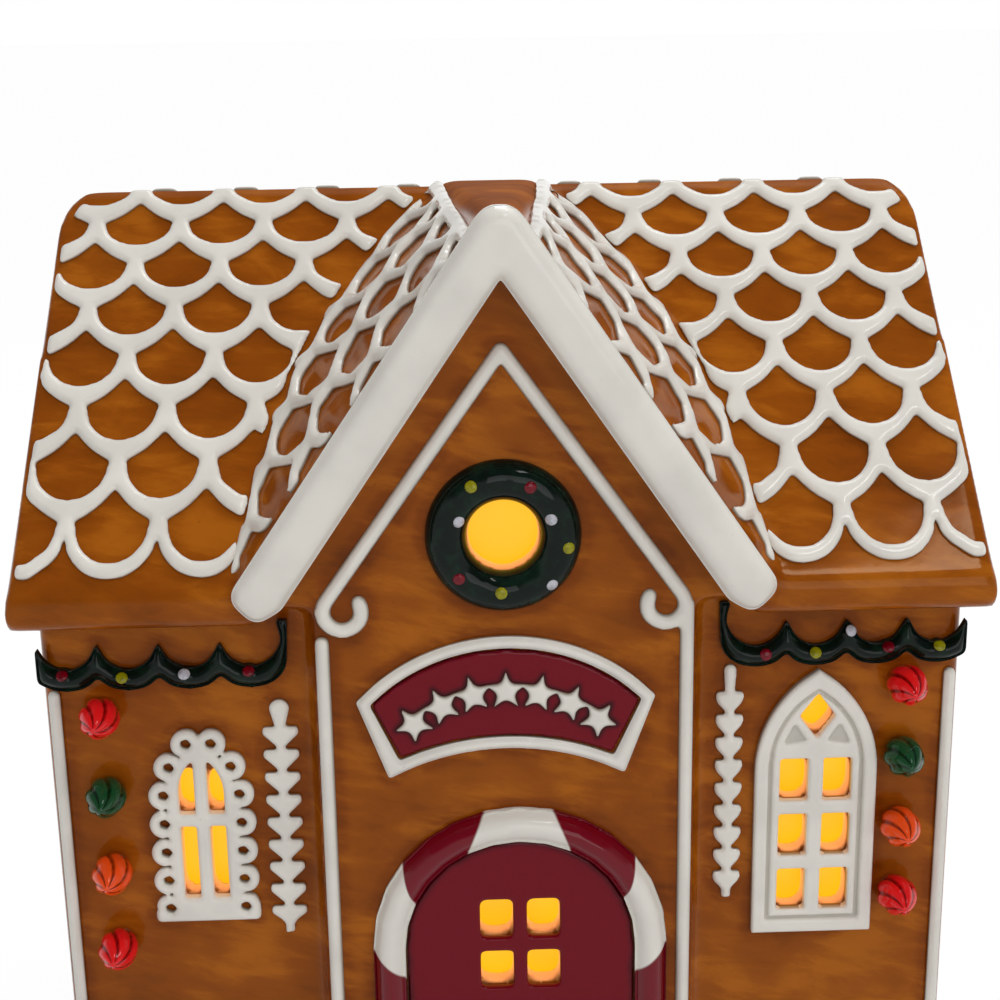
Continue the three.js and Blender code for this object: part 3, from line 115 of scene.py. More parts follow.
# Painted berries by colour: their centres seen from the front, across and up, in millimetres
WREATH_BERRIES = {
    "yellow": [(-6.5, 173.4), (13.2, 160), (-0.7, 150.8)],
    "red": [(5.5, 173), (-9.3, 154)],
    "white": [(-9, 166), (9.6, 166.1), (9.8, 152.1)],
}
GARLAND_BERRIES = {
    "yellow": [(-80.5, 131.8), (66, 133.4), (92.5, 134.2)],
    "red": [(-93, 132.5), (-54, 132.5), (54.5, 136), (81.5, 134.2)],
    "white": [(-67.5, 132.2), (73.5, 138)],
}
BERRY_SHADES = {"yellow": (150, 146, 8), "red": (120, 0, 22), "white": (200, 200, 208)}
BERRY_FLATNESS = 0.4
# The wreath's dots stand this far out of its ring, which keeps a margin inside the CAD's box
DOT_RELIEF = 0.5 * MM
RING_MARGIN = 0.05 * MM
RING_WAVE = 0.025
RING_LOBES = 11

# The candy arch, in millimetres: radius of its middle line and width of a stripe along it
ARCH_RADIUS = 28.5
CANDY_STRIPE = 19.5

BULB_ORDER = ("red", "green", "orange", "red")
BULB_LENGTH = 0.0108
FLUTE_DEPTH = 0.22
# A bulb's radius, as a share of its widest, at these shares of the way from seat to tip
FLAME_PROFILE = (
    (0.0, 0.42), (0.02, 0.66), (0.12, 0.84), (0.3, 0.97), (0.46, 0.95), (0.62, 0.82), (0.78, 0.58),
    (0.9, 0.34), (0.97, 0.16),
)

# Plastics of the base: colour, grain in millimetres, roughness and how the names of their nodes start
PLASTICS = {
    "base_plastic": ((232, 230, 224), 0.5, 0.45, ("base_tray", "battery_door", "light_post")),
    "switch_plastic": ((30, 30, 32), 0.4, 0.45, ("switch_",)),
    "led_board_mask": ((228, 228, 222), 0.3, 0.35, ("led_board",)),
    "red_insulation": ((176, 24, 24), 0.3, 0.45, ("lead_red",)),
    "black_insulation": ((26, 26, 28), 0.3, 0.45, ("lead_black",)),
    "silicone_pad": ((216, 216, 212), 0.4, 0.55, ("foot_",)),
    "cell_sleeve": ((66, 70, 76), 1.2, 0.3, ("cell_",)),
}

# Softboxes, in metres: place, the point that they face, width and height
SOFTBOXES = {
    "overhead": ((0.25, 0.3, 1.1), (0, -0.02, 0.2), 0.6, 0.6),
    "strip": ((0.1, 0.3, 1.0), (0, -0.05, 0.15), 0.45, 0.08),
    "side": ((0.36, -0.46, 1.1), (0.05, -0.05, 0.15), 0.34, 0.14),
    "front": ((0.35, -1.3, 0.6), (0, 0, 0.12), 0.9, 0.7),
}
FLOOR_GLOW = 1.04
FLOOR_GLOW_SHARE = 0.92

GLAZES = {}


def linear(red, green, blue):
    """A colour as read off a screen, 0 to 255, for Blender's linear sockets."""
    parts = [value / 255 for value in (red, green, blue)]
    return tuple(v / 12.92 if v <= 0.04045 else ((v + 0.055) / 1.055) ** 2.4 for v in parts)


def colour(name, description, *value):
    return FloatVectorProperty(
        name=name, description=description, subtype="COLOR", size=3, min=0, max=1, default=linear(*value))


def length(name, description, value):
    return FloatProperty(
        name=name, description=description, unit="LENGTH", subtype="DISTANCE", default=value * MM,
        precision=5)


def angle(name, description, degrees):
    return FloatProperty(
        name=name, description=description, subtype="ANGLE", default=math.radians(degrees))


def amount(name, description, value, **limits):
    return FloatProperty(name=name, description=description, default=value, min=0, **limits)


class GlazeSettings(bpy.types.PropertyGroup):
    caramel: colour("Caramel", "Body colour of the brushed brown glaze", 132, 61, 6)
    caramel_thin: colour("Thin caramel", "Where the brown glaze is brushed thin", 178, 99, 20)
    # The pooled caramel is the glaze where it pools beside the icing, darkened further there as painted shade;
    # it also darkens the streaks and specks
    caramel_pool: colour("Pooled caramel", "Where the brown glaze pools beside the icing", 78, 30, 4)
    # The jamb colour is painted light: the lamp's glow on the casting inside a lit opening, given as colour and
    # as emission
    jamb: colour("Window jamb", "Wall of the casting inside a lit opening", 236, 164, 100)
    icing: colour("Icing", "White icing glaze", 238, 234, 225)
    icing_edge: colour("Icing edge", "Amber edge of the white glaze", 140, 84, 34)
    # The icing hollow colour is painted shade in the grooves and on the flanks of the icing
    icing_hollow: colour("Icing hollow", "White glaze in its grooves and on its flanks", 158, 150, 136)
    pine: colour("Pine", "Dark green glaze of the garlands and the wreath", 8, 20, 14)
    pine_thin: colour("Thin pine", "Green glaze brushed thin", 14, 38, 26)
    crimson: colour("Crimson", "Sign panel, door and candy stripes", 116, 0, 22)
    # The pooled crimson is the glaze where it pools beside the reliefs, darkened further there as painted shade
    crimson_pool: colour("Pooled crimson", "Where the crimson glaze pools", 62, 0, 12)
    gloss: amount("Roughness", "Roughness of every glaze", 0.1, max=1)
    ripple: amount("Ripple", "Strength of the glaze's ripple", 0.12, max=1)


class ReliefSettings(bpy.types.PropertyGroup):
    house_grain: length("House grain", "Mesh size of the casting", 1.25)
    net_grain: length("Net grain", "Mesh size of the shingle icing", 0.45)
    line_grain: length("Line grain", "Mesh size of the icing lines and the candy arch", 0.5)
    fine_grain: length("Fine grain", "Mesh size of window frames, vines, garlands and the sign", 0.34)
    bed: length("Glaze bed", "Thickness of the brown glaze between the icing", 0.45)
    fillet_rise: length("Fillet rise", "How far the brown glaze climbs the icing", 0.85)
    fillet_reach: length("Fillet reach", "Width of that climb", 1.7)
    dome: length("Dome", "Swell in the middle of each shingle", 0.35)
    root: length("Root", "How far the icing goes down into the casting", 0.8)
    # Pool reach: width of the pooled glaze and painted shade beside a relief
    pool_reach: length("Pool reach", "Width of the dark glaze beside a relief", 5.0)


class LightSettings(bpy.types.PropertyGroup):
    red: colour("Red bulb", "Clear red plastic", 222, 6, 12)
    green: colour("Green bulb", "Clear green plastic", 0, 66, 28)
    orange: colour("Orange bulb", "Clear orange plastic", 232, 74, 0)
    amber: colour("Amber film", "Lit film behind the windows", 255, 190, 22)
    glow: amount("Glow", "Brightness of the lit films", 1.0, max=10)
    twist: angle("Twist", "Turn of a bulb's flutes from seat to tip", 75)
    flutes: IntProperty(name="Flutes", description="Flutes round a bulb", default=6, min=3, max=12)
    berry: length("Berry radius", "Radius of a painted berry", 1.3)


class StageSettings(bpy.types.PropertyGroup):
    eye: FloatVectorProperty(
        name="Eye", description="Place of the camera", subtype="XYZ", unit="LENGTH", size=3,
        default=(-0.00986, -0.40091, 0.26171))
    turn: angle("Turn", "Camera's turn round the house", -1.6)
    dip: angle("Dip", "How far the camera looks down", 15.47)
    roll: angle("Roll", "Camera's roll", -0.92)
    lens: FloatProperty(
        name="Lens", description="Focal length on a 36 mm sensor", default=61.2, unit="CAMERA")
    sky: amount("Sky", "Strength of the soft light from all round", 0.42)
    overhead: amount("Overhead", "Power of the softbox above", 2.1)
    strip: amount("Strip", "Power of the narrow light above", 1.3)
    side: amount("Side", "Power of the softbox at the right", 1.5)
    front: amount("Front", "Power of the softbox in front", 3.9)


class ShopSettings(bpy.types.PropertyGroup):
    glaze: PointerProperty(type=GlazeSettings)
    relief: PointerProperty(type=ReliefSettings)
    lights: PointerProperty(type=LightSettings)
    stage: PointerProperty(type=StageSettings)


# Finishes

class Wire:
    """A socket that takes part in sums."""

    def __init__(self, graph, socket):
        self.graph = graph
        self.socket = socket

    def sum(self, operation, first, second):
        return self.graph.sum(operation, first, second)

    def __add__(self, other):
        return self.sum("ADD", self, other)

    def __radd__(self, other):
        return self.sum("ADD", other, self)

    def __sub__(self, other):
        return self.sum("SUBTRACT", self, other)

    def __rsub__(self, other):
        return self.sum("SUBTRACT", other, self)

    def __mul__(self, other):
        return self.sum("MULTIPLY", self, other)

    def __rmul__(self, other):
        return self.sum("MULTIPLY", other, self)

    def __truediv__(self, other):
        return self.sum("DIVIDE", self, other)

    def __rtruediv__(self, other):
        return self.sum("DIVIDE", other, self)


class Graph:
    """The nodes of one material or of the world."""

    def __init__(self, tree):
        self.tree = tree
        tree.nodes.clear()

    def node(self, kind, settings=(), sockets=(), output=0):
        made = self.tree.nodes.new(kind)
        for key, value in dict(settings).items():
            setattr(made, key, value)
        for key, value in dict(sockets).items():
            if isinstance(value, Wire):
                self.tree.links.new(value.socket, made.inputs[key])
            else:
                made.inputs[key].default_value = value
        return Wire(self, made.outputs[output]) if made.outputs else None

    def sum(self, operation, *terms, **settings):
        return self.node("ShaderNodeMath", {"operation": operation, **settings}, enumerate(terms))

    def place(self):
        return self.node("ShaderNodeTexCoord", output=3)

    def noise(self, size, stretch=(1, 1, 1), turn=(0, 0, 0), detail=3, roughness=0.5, distortion=0):
        """Noise with patches about this many millimetres across."""
        spot = self.node("ShaderNodeMapping", {"vector_type": "TEXTURE"},
                         {"Vector": self.place(), "Rotation": turn, "Scale": stretch})
        return self.node("ShaderNodeTexNoise", sockets={
            "Vector": spot, "Scale": 1000 / size, "Detail": detail, "Roughness": roughness,
            "Distortion": distortion})

    def mask(self, value, low, high):
        """0 below low, 1 above high, smooth between."""
        return self.node("ShaderNodeMapRange", {"interpolation_type": "SMOOTHSTEP"}, {
            "Value": value, "From Min": low, "From Max": high})

    def mix(self, first, second, factor):
        return self.node("ShaderNodeMix", {"data_type": "RGBA"}, {
            0: factor, 6: full(first), 7: full(second)}, output=2)

    def attribute(self, name):
        return self.node("ShaderNodeAttribute", {"attribute_name": name}, output=2)

    def axis(self, which):
        return self.node("ShaderNodeSeparateXYZ", sockets={0: self.place()}, output="XYZ".index(which))

    def bump(self, height, strength, depth):
        return self.node("ShaderNodeBump", sockets={
            "Height": height, "Strength": strength, "Distance": depth * MM})

    def seen(self):
        """1 for rays from the camera and for what shows in gloss and in clear plastic."""
        camera, gloss, clear = [self.node("ShaderNodeLightPath", output=f"Is {kind} Ray")
                                for kind in ("Camera", "Glossy", "Transmission")]
        return self.sum("ADD", camera + gloss, clear, use_clamp=True)


class Finish(Graph):
    """One material and the nodes that it is made of."""

    def __init__(self, name):
        self.material = bpy.data.materials.new(name)
        self.material.use_nodes = True
        super().__init__(self.material.node_tree)
        GLAZES[name] = self.material

    def shade(self, base, roughness, normal=None, **sockets):
        settings = {"Base Color": full(base), "Roughness": roughness}
        if normal is not None:
            settings["Normal"] = normal
        settings.update({key.replace("_", " "): value for key, value in sockets.items()})
        surface = self.node("ShaderNodeBsdfPrincipled", sockets=settings)
        self.node("ShaderNodeOutputMaterial", sockets={"Surface": surface})
        return self.material


def full(value):
    return value if isinstance(value, Wire) else (*tuple(value)[:3], 1)


def shared(make):
    """The glaze of that name, made once for every piece that carries it."""
    return GLAZES.get(make.__name__) or make()


def glaze_ripple(finish, settings):
    wide = finish.noise(9, detail=1)
    fine = finish.noise(2.2, detail=2)
    return finish.bump(wide * 0.8 + fine * 0.2, settings.ripple, 0.6)


def glossy(finish, body, clouds, polish, index):
    """Glaze with an uneven gloss, this much smoother than the general one."""
    settings = bpy.context.scene.shop.glaze
    roughness = clouds * 0.05 + (settings.gloss - polish)
    return finish.shade(body, roughness, glaze_ripple(finish, settings), IOR=index)


def caramel_glaze():
    """Brushed brown glaze: streaks along the brush, darker beside the icing where it pools and as painted
    shade, and a painted glow on the jambs of the lit openings.
    """
    settings = bpy.context.scene.shop.glaze
    finish = Finish("caramel_glaze")
    streaks = finish.noise(5.5, stretch=(3.2, 1, 1), turn=(0, math.radians(12), 0), detail=5,
                           roughness=0.62, distortion=0.4)
    clouds = finish.noise(22, detail=2)
    specks = finish.noise(1.1, detail=2)
    tone = streaks * 0.62 + clouds * 0.38
    body = finish.mix(settings.caramel_pool, settings.caramel, finish.mask(tone, 0.2, 0.5))
    body = finish.mix(body, settings.caramel_thin, finish.mask(tone, 0.47, 0.64) * 0.8)
    # Darker beside the reliefs: partly glaze that pools there, partly painted shade
    pool = finish.attribute("pool")
    wander = pool + (streaks - 0.5) * 0.35
    depth = finish.mask(wander, 0.02, 0.5)
    body = finish.mix(settings.caramel_pool, body, depth * 0.85 + 0.15)
    body = finish.mix(body, settings.caramel_thin, finish.mask(wander, 0.55, 1.0) * clouds * 0.55)
    body = finish.mix(body, settings.caramel_pool, finish.mask(specks, 0.7, 0.8) * 0.3)
    # Painted light: the lamp's glow on the jambs of the lit openings, in the colour and as emission
    jamb = finish.attribute("jamb")
    body = finish.mix(body, settings.jamb, jamb)
    lit = finish.mix((0, 0, 0), settings.jamb, jamb)
    crest = finish.mask(finish.axis("Z"), *CREST_FADE)
    return finish.shade(body, streaks * 0.05 + crest * 0.6 + (settings.gloss - 0.02),
                        glaze_ripple(finish, settings), IOR=1.28,
                        Specular_Tint=(1, 0.8, 0.52, 1), Emission_Color=lit, Emission_Strength=0.55)


def icing_glaze():
    """White glaze, thinning to amber where it meets the brown, with painted shade in its grooves and on its
    flanks.
    """
    settings = bpy.context.scene.shop.glaze
    finish = Finish("icing_glaze")
    clouds = finish.noise(14, detail=3)
    specks = finish.noise(0.9, detail=1)
    crown = finish.attribute("crown")
    body = finish.mix([c * 0.9 for c in settings.icing], settings.icing, finish.mask(clouds, 0.3, 0.7))
    edge = finish.mask(crown + (clouds - 0.5) * 0.12, 0.0, 0.2)
    # Painted shade in the grooves and on the flanks
    body = finish.mix(settings.icing_hollow, body, finish.mask(crown, 0.3, 0.8))
    body = finish.mix(settings.icing_edge, body, edge)
    body = finish.mix(body, settings.icing_edge, finish.mask(specks, 0.78, 0.86) * 0.25)
    return glossy(finish, body, clouds, 0.02, 1.34)


def pine_glaze():
    settings = bpy.context.scene.shop.glaze
    finish = Finish("pine_glaze")
    clouds = finish.noise(4, detail=4, roughness=0.6)
    body = finish.mix(settings.pine, settings.pine_thin, finish.mask(clouds, 0.45, 0.72))
    return glossy(finish, body, clouds, 0.03, 1.25)


def crimson_glaze():
    settings = bpy.context.scene.shop.glaze
    finish = Finish("crimson_glaze")
    clouds = finish.noise(5, stretch=(3, 1, 1), detail=4)
    pool = finish.attribute("pool")
    # Darker beside the reliefs: partly crimson glaze that pools there, partly painted shade
    body = finish.mix(settings.crimson_pool, settings.crimson, finish.mask(pool + clouds * 0.4, 0.2, 0.75))
    return glossy(finish, body, clouds, 0.02, 1.25)


def candy_glaze():
    """White arch with slanting crimson stripes, laid round its centre and down its legs."""
    settings = bpy.context.scene.shop.glaze
    finish = Finish("candy_glaze")
    clouds = finish.noise(8, detail=3)
    low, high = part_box("candy_arch")
    spring = high.z - (high.x - low.x) / 2
    across = (finish.axis("X") - (low.x + high.x) / 2) / MM
    up = (finish.axis("Z") - spring) / MM
    turn = finish.sum("ARCTAN2", across, up)
    radius = finish.sum("SQRT", across * across + up * up)
    side = finish.mask(across, -0.5, 0.5) * 2 - 1
    below = finish.mask(up * -1, -0.5, 0.5)
    arc = finish.sum("ABSOLUTE", turn * ARCH_RADIUS)
    legs = ARCH_RADIUS * math.pi / 2 - up
    along = arc * (1 - below) + legs * below
    slant = (radius - ARCH_RADIUS) * (1 - below) * 0.9 + (across * side - ARCH_RADIUS) * below * 0.9
    wave = finish.sum("FRACT", (along + slant + CANDY_STRIPE / 2) / (2 * CANDY_STRIPE))
    edges = finish.mask(wave, 0.49, 0.51) * (1 - finish.mask(wave, 0.985, 0.999))
    white = finish.mix([c * 0.92 for c in settings.icing], settings.icing, clouds)
    body = finish.mix(white, settings.crimson, edges)
    return finish.shade(body, settings.gloss, glaze_ripple(finish, settings), IOR=1.34)


def berry_paint(name, shade):
    settings = bpy.context.scene.shop.glaze
    finish = Finish(name)
    clouds = finish.noise(1.2, detail=2)
    body = finish.mix([c * 0.6 for c in shade], shade, finish.mask(clouds, 0.25, 0.6))
    return finish.shade(body, settings.gloss, glaze_ripple(finish, settings), IOR=1.34)


def bulb_plastic(name, shade):
    """Clear coloured plastic lit from inside: deeper at the seat and lighter towards the tip as a painted
    highlight, with painted shade in the grooves of its flutes.
    """
    finish = Finish(name)
    clouds = finish.noise(3, detail=2)
    tip = finish.attribute("tip")
    # Lighter towards the tip: a painted highlight
    body = finish.mix([c * 0.55 for c in shade], [min(1, c * 1.1 + 0.01) for c in shade],
                      finish.mask(tip + clouds * 0.3, 0.1, 0.8))
    # Painted shade in the grooves between the flutes
    body = finish.mix([c * 0.22 for c in shade], body, finish.mask(finish.attribute("ridge"), 0.1, 0.6))
    return finish.shade(body, clouds * 0.04 + 0.03, Transmission_Weight=0.3, IOR=1.36,
                        Emission_Color=body, Emission_Strength=0.16)


def amber_film():
    """Lit film, a little uneven."""
    settings = bpy.context.scene.shop.lights
    finish = Finish("amber_film")
    clouds = finish.noise(16, detail=1)
    lit = finish.mix([c * 0.93 for c in settings.amber], settings.amber, finish.mask(clouds, 0.3, 0.6))
    film = finish.mix([c * 0.1 for c in settings.amber], [c * 0.15 for c in settings.amber], clouds)
    return finish.shade(film, 0.4, Emission_Color=lit, Emission_Strength=settings.glow)


def moulded_plastic(name, shade, grain, roughness):
    finish = Finish(name)
    fine = finish.noise(grain, detail=3)
    wide = finish.noise(grain * 25, detail=2)
    body = finish.mix([c * 0.93 for c in shade], shade, wide)
    return finish.shade(body, wide * 0.12 + (roughness - 0.06), finish.bump(fine, 0.15, 0.12), IOR=1.46)


def plated_steel(name, shade, stretch):
    finish = Finish(name)
    brushed = finish.noise(0.7, stretch=stretch, detail=4)
    body = finish.mix([c * 0.8 for c in shade], shade, brushed)
    return finish.shade(body, brushed * 0.15 + 0.2, finish.bump(brushed, 0.1, 0.05), Metallic=1.0)


# Forms

def nodes_named(*starts):
    """The CAD nodes whose names start that way."""
    return [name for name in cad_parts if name.startswith(starts)]


def cad_copy(*names):
    """One mesh of CAD nodes, their loose triangles joined."""
    bm = bmesh.new()
    for name in names:
        bm.from_mesh(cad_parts[name].data)
    bmesh.ops.remove_doubles(bm, verts=bm.verts, dist=1e-6)
    return bm


def recast(bm, grain):
    """The same form as an even net of small faces, ready to be softened."""
    mesh = bpy.data.meshes.new("blank")
    bm.to_mesh(mesh)
    bm.free()
    blank = bpy.data.objects.new("blank", mesh)
    bpy.context.collection.objects.link(blank)
    remesh = blank.modifiers.new("recast", "REMESH")
    remesh.mode = "VOXEL"
    remesh.voxel_size = grain * 1
    graph = bpy.context.evaluated_depsgraph_get()
    cast = bpy.data.meshes.new_from_object(blank.evaluated_get(graph))
    bpy.data.objects.remove(blank)
    bpy.data.meshes.remove(mesh)
    made = bmesh.new()
    made.from_mesh(cast)
    bpy.data.meshes.remove(cast)
    made.normal_update()
    return made


def soften(bm, times, above=-1):
    chosen = [vert for vert in bm.verts if vert.co.z > above]
    for _ in range(times):
        bmesh.ops.smooth_vert(
            bm, verts=chosen, factor=0.5, use_axis_x=True, use_axis_y=True, use_axis_z=True)
    bm.normal_update()


def rooted(bm, depth):
    """The form joined to a copy pushed down, so that it grows out of the casting."""
    copy = bmesh.ops.duplicate(bm, geom=bm.verts[:] + bm.edges[:] + bm.faces[:])
    moved = [part for part in copy["geom"] if isinstance(part, bmesh.types.BMVert)]
    bmesh.ops.translate(bm, verts=moved, vec=depth)


def bent_outline(bm, facing):
    """Bends the straight steps of a relief's outline into curves that run from cusp to cusp."""
    bm.normal_update()
    level = {face: abs(face.normal.dot(facing)) > LEVEL for face in bm.faces}
    rims = [edge for edge in bm.edges
            if len(edge.link_faces) == 2 and level[edge.link_faces[0]] != level[edge.link_faces[1]]]
    along = {}
    for edge in rims:
        for vert in edge.verts:
            along.setdefault(vert, []).append(edge)
    curved = []
    split = set(rims)
    for edge in rims:
        start, end = edge.verts
        chord = end.co - start.co
        leaving = outline_tangent(start, edge, along[start])
        arriving = -outline_tangent(end, edge, along[end])
        wall = next(face for face in edge.link_faces if not level[face])
        spans = [(start.co.copy(), chord)]
        for other in wall.edges:
            near, far = sorted(other.verts, key=lambda vert: flat(vert.co - start.co, facing).length)
            steep = flat(far.co - near.co, facing).length <= chord.length / 2
            if other not in along[start] + along[end] and not steep:
                split.add(other)
                spans.append((near.co.copy(), far.co - near.co))
        for step in range(1, CURVE_CUTS + 1):
            t = step / (CURVE_CUTS + 1)
            bend = (t ** 3 - 2 * t * t + t) * leaving + (t ** 3 - t * t) * arriving
            shift = chord * (3 * t * t - 2 * t ** 3 - t) + bend * chord.length
            curved += [(root + span * t, root + span * t + shift) for root, span in spans]
    tree = KDTree(len(curved))
    for rank, (straight, _) in enumerate(curved):
        tree.insert(straight, rank)
    tree.balance()
    bmesh.ops.subdivide_edges(bm, edges=[edge for edge in bm.edges if edge in split], cuts=CURVE_CUTS)
    same_place = 2e-6
    for vert in bm.verts:
        _, rank, away = tree.find(vert.co)
        if away < same_place:
            vert.co = curved[rank][1]


def flat(vector, facing):
    """What lies of a vector in the plane that faces that way."""
    return vector - facing * vector.dot(facing)


def outline_tangent(vert, edge, rims):
    """Direction in which an outline leaves a point along one of its edges."""
    out = edge.other_vert(vert).co - vert.co
    if len(rims) != 2:
        return out.normalized()
    other = rims[0] if rims[1] is edge else rims[1]
    back = vert.co - other.other_vert(vert).co
    if back.angle(out, 0) > CUSP or out.length > UNEVEN * back.length:
        return out.normalized()
    if back.length > UNEVEN * out.length:
        return back.normalized()
    return (out.normalized() * back.length + back.normalized() * out.length).normalized()


def crowned(bm, facing, drop, half):
    """Lowers what faces outwards towards its edges, as a piped line of icing lies."""
    flank = [vert for vert in bm.verts if abs(vert.normal.dot(facing)) < FLANK]
    tree = KDTree(len(flank))
    for rank, vert in enumerate(flank):
        tree.insert(flat(vert.co, facing), rank)
    tree.balance()
    moves = []
    for vert in bm.verts:
        if vert.normal.dot(facing) > OUTWARD:
            away = tree.find(flat(vert.co, facing))[2]
            share = 1 - min(away / half, 1)
            moves.append((vert, share * share * drop))
    for vert, fall in moves:
        vert.co -= facing * fall


def nearest_tree(*names):
    """Search tree of the surface of CAD nodes."""
    bm = cad_copy(*names)
    tree = BVHTree.FromBMesh(bm)
    bm.free()
    return tree


def bent_nets():
    """Search tree of the shingle nets as they are piped."""
    whole = bmesh.new()
    for node, lean in SHINGLE_NETS.items():
        net = cad_copy(node)
        bent_outline(net, Vector(lean).normalized())
        mesh = bpy.data.meshes.new("net")
        net.to_mesh(mesh)
        net.free()
        whole.from_mesh(mesh)
        bpy.data.meshes.remove(mesh)
    tree = BVHTree.FromBMesh(whole)
    whole.free()
    return tree


def smoothstep(value, low, high):
    share = min(max((value - low) / (high - low), 0), 1)
    return share * share * (3 - 2 * share)


def set_crown(bm, facing, ground, height):
    """Stores how high each point of the icing stands above its own foot, 0 to 1."""
    layer = bm.verts.layers.float.new("crown")
    above = 3 * MM
    for vert in bm.verts:
        hit = ground.ray_cast(vert.co + facing * above, -facing, REACH)
        away = (hit[3] - above) if hit[0] else height
        vert[layer] = min(max(away / height, 0), 1)


def set_pool(bm, reach, *names):
    """Stores how far each point lies from CAD nodes, 0 beside them and 1 at this reach, for the pooled glaze
    and painted shade beside them.
    """
    edge = nearest_tree(*names)
    layer = bm.verts.layers.float.new("pool")
    for vert in bm.verts:
        vert[layer] = min(edge.find_nearest(vert.co)[3] / reach, 1)


def piece(name, bm, material, nodes=()):
    """A finished piece of the house, in the place of the CAD nodes that it shows."""
    low, high = CAD_BOX
    for vert in bm.verts:
        vert.co = [min(max(vert.co[k], low[k]), high[k]) for k in range(3)]
    for face in bm.faces:
        face.smooth = True
    mesh = bpy.data.meshes.new(name)
    bm.to_mesh(mesh)
    bm.free()
    mesh.materials.append(material)
    made = bpy.data.objects.new(name, mesh)
    bpy.context.collection.objects.link(made)
    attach(made, "house")
    if nodes:
        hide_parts(*nodes)
    return made


def dress(material, *starts):
    """Gives CAD nodes, found by how their names start, another material."""
    for name in nodes_named(*starts):
        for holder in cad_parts[name].material_slots:
            holder.material = material


def glazed_relief(node, name, make, facing, grain, drop, half, passes, *, spread=0, first=1, height=1.4,
                  bent=True, over="house_shell"):
    """A relief of the casting in glaze: rooted, softened, spread, lowered towards its edges, softened again.

    Drop is how far the edges go down, half is the width of that slope, and height is where the glaze
    reaches its full colour above the node that it lies over, all in millimetres. The function that makes
    the glaze has the name of its slot.
    """
    relief = bpy.context.scene.shop.relief
    bm = cad_copy(node)
    if bent:
        bent_outline(bm, facing)
    rooted(bm, -facing * relief.root)
    bm = recast(bm, grain)
    soften(bm, first)
    if node.startswith("gable_roof"):
        soften(bm, 10, above=CREST_STRAND)
    if spread:
        for vert in bm.verts:
            vert.co += flat(vert.normal, facing) * (spread * MM)
    crowned(bm, facing, drop * MM, half * MM)
    soften(bm, passes)
    set_crown(bm, facing, nearest_tree(over), height * MM)
    return piece(name, bm, shared(make), [node])


# The casting

def mark_jambs(bm):
    """Stores which points stand on the walls of the lit openings, beside each film, where the lamp's glow is
    painted.
    """
    layer = bm.verts.layers.float.new("jamb")
    depth = 7 * MM
    bm.normal_update()
    for name in nodes_named("film_"):
        low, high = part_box(name)
        sideways = high.x - low.x < 2 * MM
        reach = Vector((depth, 0, 0)) if sideways else Vector((0, depth, 0))
        axis = reach.normalized()
        for vert in bm.verts:
            spot = vert.co
            if all(low[k] - reach[k] <= spot[k] <= high[k] + reach[k] for k in range(3)):
                vert[layer] = max(vert[layer], smoothstep(1 - abs(vert.normal.dot(axis)), 0.3, 0.7))


def mark_cavity(bm):
    """The vertices of the hollow: what faces another wall far across the inside."""
    tree = BVHTree.FromBMesh(bm)
    inner = set()
    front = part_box("house_shell")[0].y + 15 * MM
    across = 40 * MM
    for vert in bm.verts:
        if vert.co.y > front and vert.co.z < HOLLOW_TOP:
            hit = tree.ray_cast(vert.co + vert.normal * 0.5 * MM, vert.normal)
            if hit[0] is not None and hit[3] > across:
                inner.add(vert)
    return inner


def thin_cavity(bm, inner):
    """Joins what is nearly flat inside, where nothing shows."""
    verts = [vert for vert in inner if all(edge.other_vert(vert) in inner for edge in vert.link_edges)]
    kept = set(verts)
    edges = [edge for edge in bm.edges if edge.verts[0] in kept and edge.verts[1] in kept]
    bmesh.ops.dissolve_limit(bm, angle_limit=math.radians(4), verts=verts, edges=edges)
    bmesh.ops.triangulate(bm, faces=[face for face in bm.faces if len(face.verts) > 4])


def roof_faces(bm):
    """The faces of the casting that the shingles lie on."""
    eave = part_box("roof_icing_back")[0].z - 2 * MM
    return [face for face in bm.faces if face.normal.z > ROOF_LEAN and face.calc_center_median().z > eave]


def swell_shingles(bm, relief, roof, inner):
    """Brown glaze climbs the icing in a fillet and swells in the middle of each shingle."""
    nets = bent_nets()
    reliefs = nearest_tree(*FRONT_RELIEFS)
    # How far each point lies from the icing, for the pooled glaze and painted shade beside it
    layer = bm.verts.layers.float.new("pool")
    gap = 0.3 * MM
    bm.normal_update()
    moves = []
    for vert in bm.verts:
        if vert in inner:
            vert[layer] = 1
            continue
        near = reliefs.find_nearest(vert.co, REACH)
        away = near[3] if near[0] is not None else REACH
        if vert in roof:
            hit = nets.find_nearest(vert.co, REACH)
            net = math.sqrt(max(hit[3] ** 2 - gap ** 2, 0)) if hit[0] is not None else REACH
            climb = relief.bed + relief.fillet_rise * (1 - min(net / relief.fillet_reach, 1)) ** 2
            swell = relief.dome * smoothstep(net, relief.fillet_reach * 0.7, 6.5 * MM)
            moves.append((vert, climb + swell))
            vert[layer] = ROOF_POOL_AND_SHADE * min(net / relief.pool_reach, away / relief.pool_reach, 1)
        else:
            vert[layer] = WALL_POOL_AND_SHADE + (1 - WALL_POOL_AND_SHADE) * min(away / (relief.pool_reach * 0.7), 1)
    for vert, rise in moves:
        vert.co += vert.normal * rise


def quarter(bm, middle, right, back):
    """One closed quarter of the casting, cut through the ridge and the crest."""
    part = bm.copy()
    for direction in (Vector((1 if right else -1, 0, 0)), Vector((0, 1 if back else -1, 0))):
        bmesh.ops.bisect_plane(
            part, geom=part.verts[:] + part.edges[:] + part.faces[:], dist=1e-7, plane_co=middle,
            plane_no=direction, clear_inner=True)
        rim = [edge for edge in part.edges if edge.is_boundary]
        bmesh.ops.triangle_fill(part, edges=rim, use_beauty=False, use_dissolve=False)
        for edge in rim:
            edge.smooth = False
    return part


